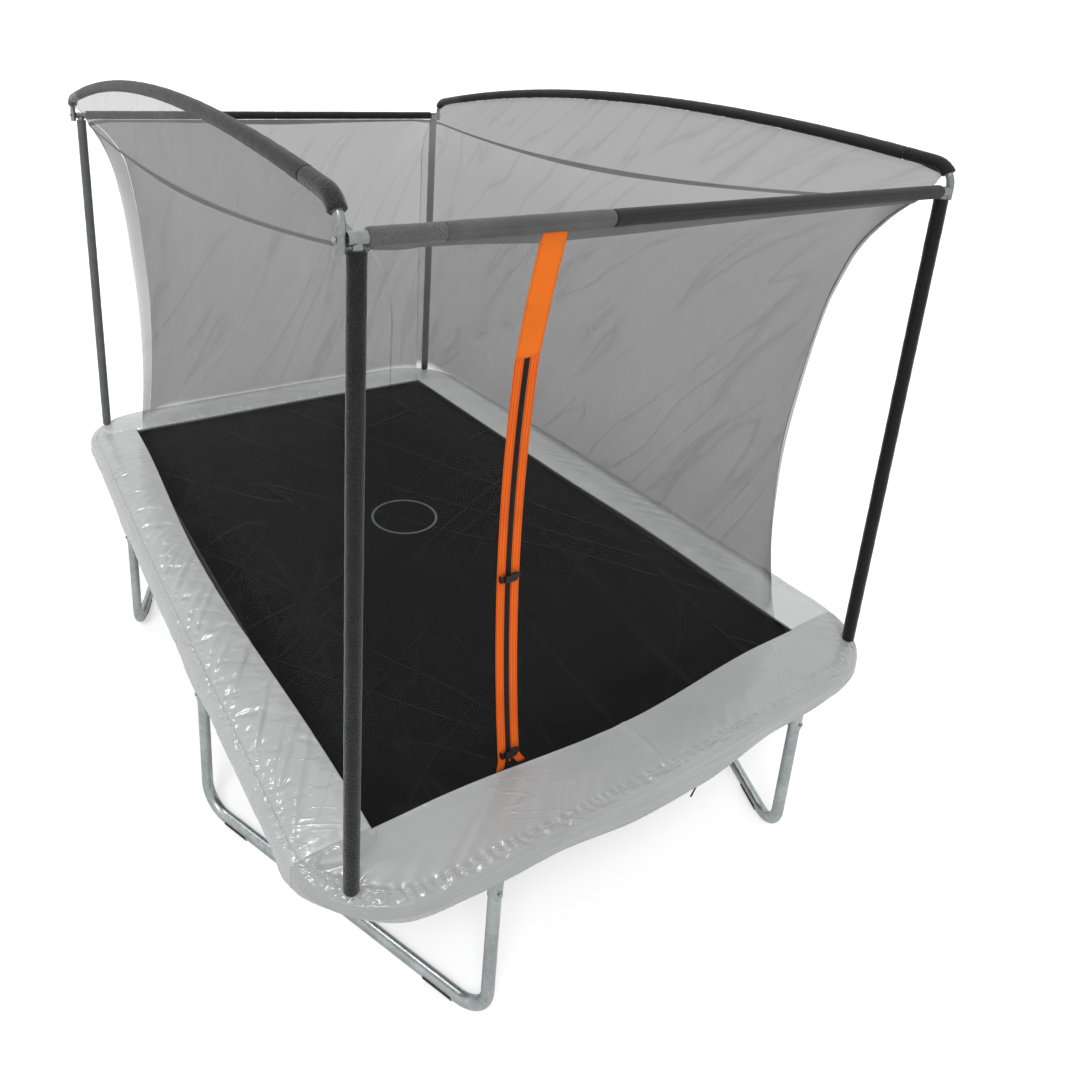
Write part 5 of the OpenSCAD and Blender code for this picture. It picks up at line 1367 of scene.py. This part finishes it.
def simulateSlack(skins):
    # the covers are cut larger than what they hold, so each puffs up and folds between its seams
    bodies = {}
    for side, skin in skins.items():
        rows, cols = skin.shape[:2]
        body = meshObject(f"slack_{side}", skin.reshape(-1, 3), gridFaces(rows, cols), vinylsShadedBySide[side])
        held = body.vertex_groups.new(name="held")
        weight = np.zeros((rows, cols))
        weight[:, :4] = 1
        weight[:, seamCol - 1:seamCol + 2] = 0.93
        weight[:, -2:] = 0.8
        weight[:2], weight[-2:] = 1, 1
        for value in np.unique(weight[weight > 0]):
            held.add([int(v) for v in np.flatnonzero(weight.reshape(-1) == value)], float(value), "REPLACE")
        cloth = body.modifiers.new("slack", "CLOTH")
        settings = cloth.settings
        settings.quality, settings.mass, settings.air_damping = 6, 0.25, 4.0
        settings.tension_stiffness, settings.compression_stiffness = 30, 30
        settings.shear_stiffness, settings.bending_stiffness = 15, 1.2
        settings.use_pressure, settings.uniform_pressure_force = True, slack["pressure"]
        settings.shrink_min, settings.shrink_max = slack["shrink"], slack["shrink"]
        settings.vertex_group_mass = "held"
        settings.effector_weights.gravity = 0
        cloth.collision_settings.use_collision = False
        cloth.collision_settings.use_self_collision = False
        bodies[side] = body
    for frameNumber in range(1, slack["frames"] + 1):
        scene.frame_set(frameNumber)
    graph = bpy.context.evaluated_depsgraph_get()
    results = {}
    for side, body in bodies.items():
        points = np.zeros(len(body.data.vertices) * 3)
        body.evaluated_get(graph).data.vertices.foreach_get("co", points)
        moved = points.reshape(skins[side].shape) - skins[side]
        length = np.linalg.norm(moved, axis=2, keepdims=True)
        moved = moved * np.minimum(1, slack["cap"] / np.maximum(length, 1e-9))
        # the skirt stays outside the rail that it hangs over
        outward = outwardOf(skins[side])
        inward = np.minimum(0, (moved * outward).sum(axis=2, keepdims=True))
        fromRoll = (np.arange(moved.shape[1]) > moved.shape[1] - pad["dropPoints"] - 5)[None, :, None]
        results[side] = skins[side] + moved - outward * inward * fromRoll
        bpy.data.objects.remove(body)
    scene.frame_set(1)
    return results


def poleDimples(skin):
    # the cover is gathered where a pole comes up through it
    for sx in (-1, 1):
        for sy in (-1, 1):
            dx, dy = skin[..., 0] - sx * poleX, skin[..., 1] - sy * poleY
            away = np.hypot(dx, dy)
            top = skin[..., 2] > pad["under"] + 0.008
            rays = np.cos(dimple["folds"] * np.arctan2(dy, dx) + 2 * sx + 3 * sy)
            gathers = dimple["foldHigh"] * rays * np.exp(-((away - dimple["foldAt"]) / dimple["foldWide"]) ** 2)
            drop = dimple["depth"] * smoothStep(dimple["reach"] - away, 0, dimple["reach"]) + gathers
            skin[..., 2] -= np.where(top, drop, 0)
    return skin


def finer(grid):
    # doubles the rows and the columns with a smooth curve through every point
    for axis in (0, 1):
        g = np.moveaxis(grid, axis, 0)
        before, after = np.concatenate([g[:1], g[:-2]]), np.concatenate([g[2:], g[-1:]])
        middle = (-before + 9 * g[:-1] + 9 * g[1:] - after) / 16
        out = np.empty((2 * len(g) - 1, *g.shape[1:]))
        out[::2], out[1::2] = g, middle
        grid = np.moveaxis(out, 0, axis)
    return grid


skins = {side: roughSkin(skin, seed) for side, (skin, _, seed) in padPieces.items()}
slackSkins = simulateSlack(skins)
for side, (_, inside, seed) in padPieces.items():
    skin = poleDimples(slackSkins[side])
    # the top never sinks through the underside
    least = np.minimum(inside[..., 2] + 0.0005, skin[..., 2] + 1)
    skin[..., 2] = np.maximum(skin[..., 2], least * (skin[..., 2] > pad["under"]))
    fineSkin, fineInside = slackCreases(finer(skin), seed, creased[side]), finer(inside)
    drop = fineSkin[..., 2] < pad["under"] - 0.004
    normals = gridNormals(fineSkin)
    outward = np.sign((normals * (fineSkin - (0, 0, 0.6))).sum(axis=2, keepdims=True))
    fineInside = np.where(drop[..., None], fineSkin - normals * outward * pad["wall"], fineInside)
    piece = doubleObject(f"pad_{side}_cover", fineSkin, fineInside, vinylsShadedBySide[side])
    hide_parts(f"pad_{side}")
    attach(piece, "frame")
    points, ways, ups = [], [], []
    for col, lift in ((2 * seamCol, 0.0005), (2 * (skin.shape[1] - 1) - 4, 0.0004)):
        facing = (normals * outward)[:, col]
        at, way, up = spacedAlong(fineSkin[:, col] + facing * lift, pad["stitchPitch"], facing)
        points += list(at)
        ways += list(way)
        ups += list(up)
    # the cross seam lies beside the middle of the cover
    crossSeam = (len(fineSkin) // 2 - 2, slice(12, 2 * seamCol - 2))
    facing = (normals * outward)[crossSeam]
    at, way, up = spacedAlong(fineSkin[crossSeam] + facing * 0.0005, pad["stitchPitch"], facing)
    points, ways, ups = points + list(at), ways + list(way), ups + list(up)
    thread = runTree(f"pad_{side}_stitches", sewing, points, ways, ups,
                     {"Length": pad["stitch"], "Thread": pad["thread"], "Finish": vinylThread})
    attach(thread, "frame")


# ---- tie below the front skirt ----

tieLow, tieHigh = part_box("pad_tie")
tieMid, tieHalf, tieTop = (tieLow + tieHigh) / 2, 0.004, tieHigh.z + 0.009  # it starts up under the skirt
tieRows = []
for s in np.linspace(0, 1, 26):
    x = tieLow.x + tieHalf + (tieHigh.x - tieLow.x - 2 * tieHalf) * (1 - s) + 0.002 * math.sin(5 * s)
    z = tieTop - (tieTop - tieLow.z) * s
    twist = 0.3 + 2.2 * s
    tieRows.append([(x + tieHalf * u * math.cos(twist), tieMid.y + tieHalf * u * math.sin(twist) * 0.6, z)
                    for u in (-1, -0.5, 0, 0.5, 1)])
tie = gridObject("pad_tie_strap", np.array(tieRows), webbing)
tieWall = tie.modifiers.new("thickness", "SOLIDIFY")
tieWall.thickness, tieWall.offset = 0.0012, 0.0
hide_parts("pad_tie")
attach(tie, "frame")
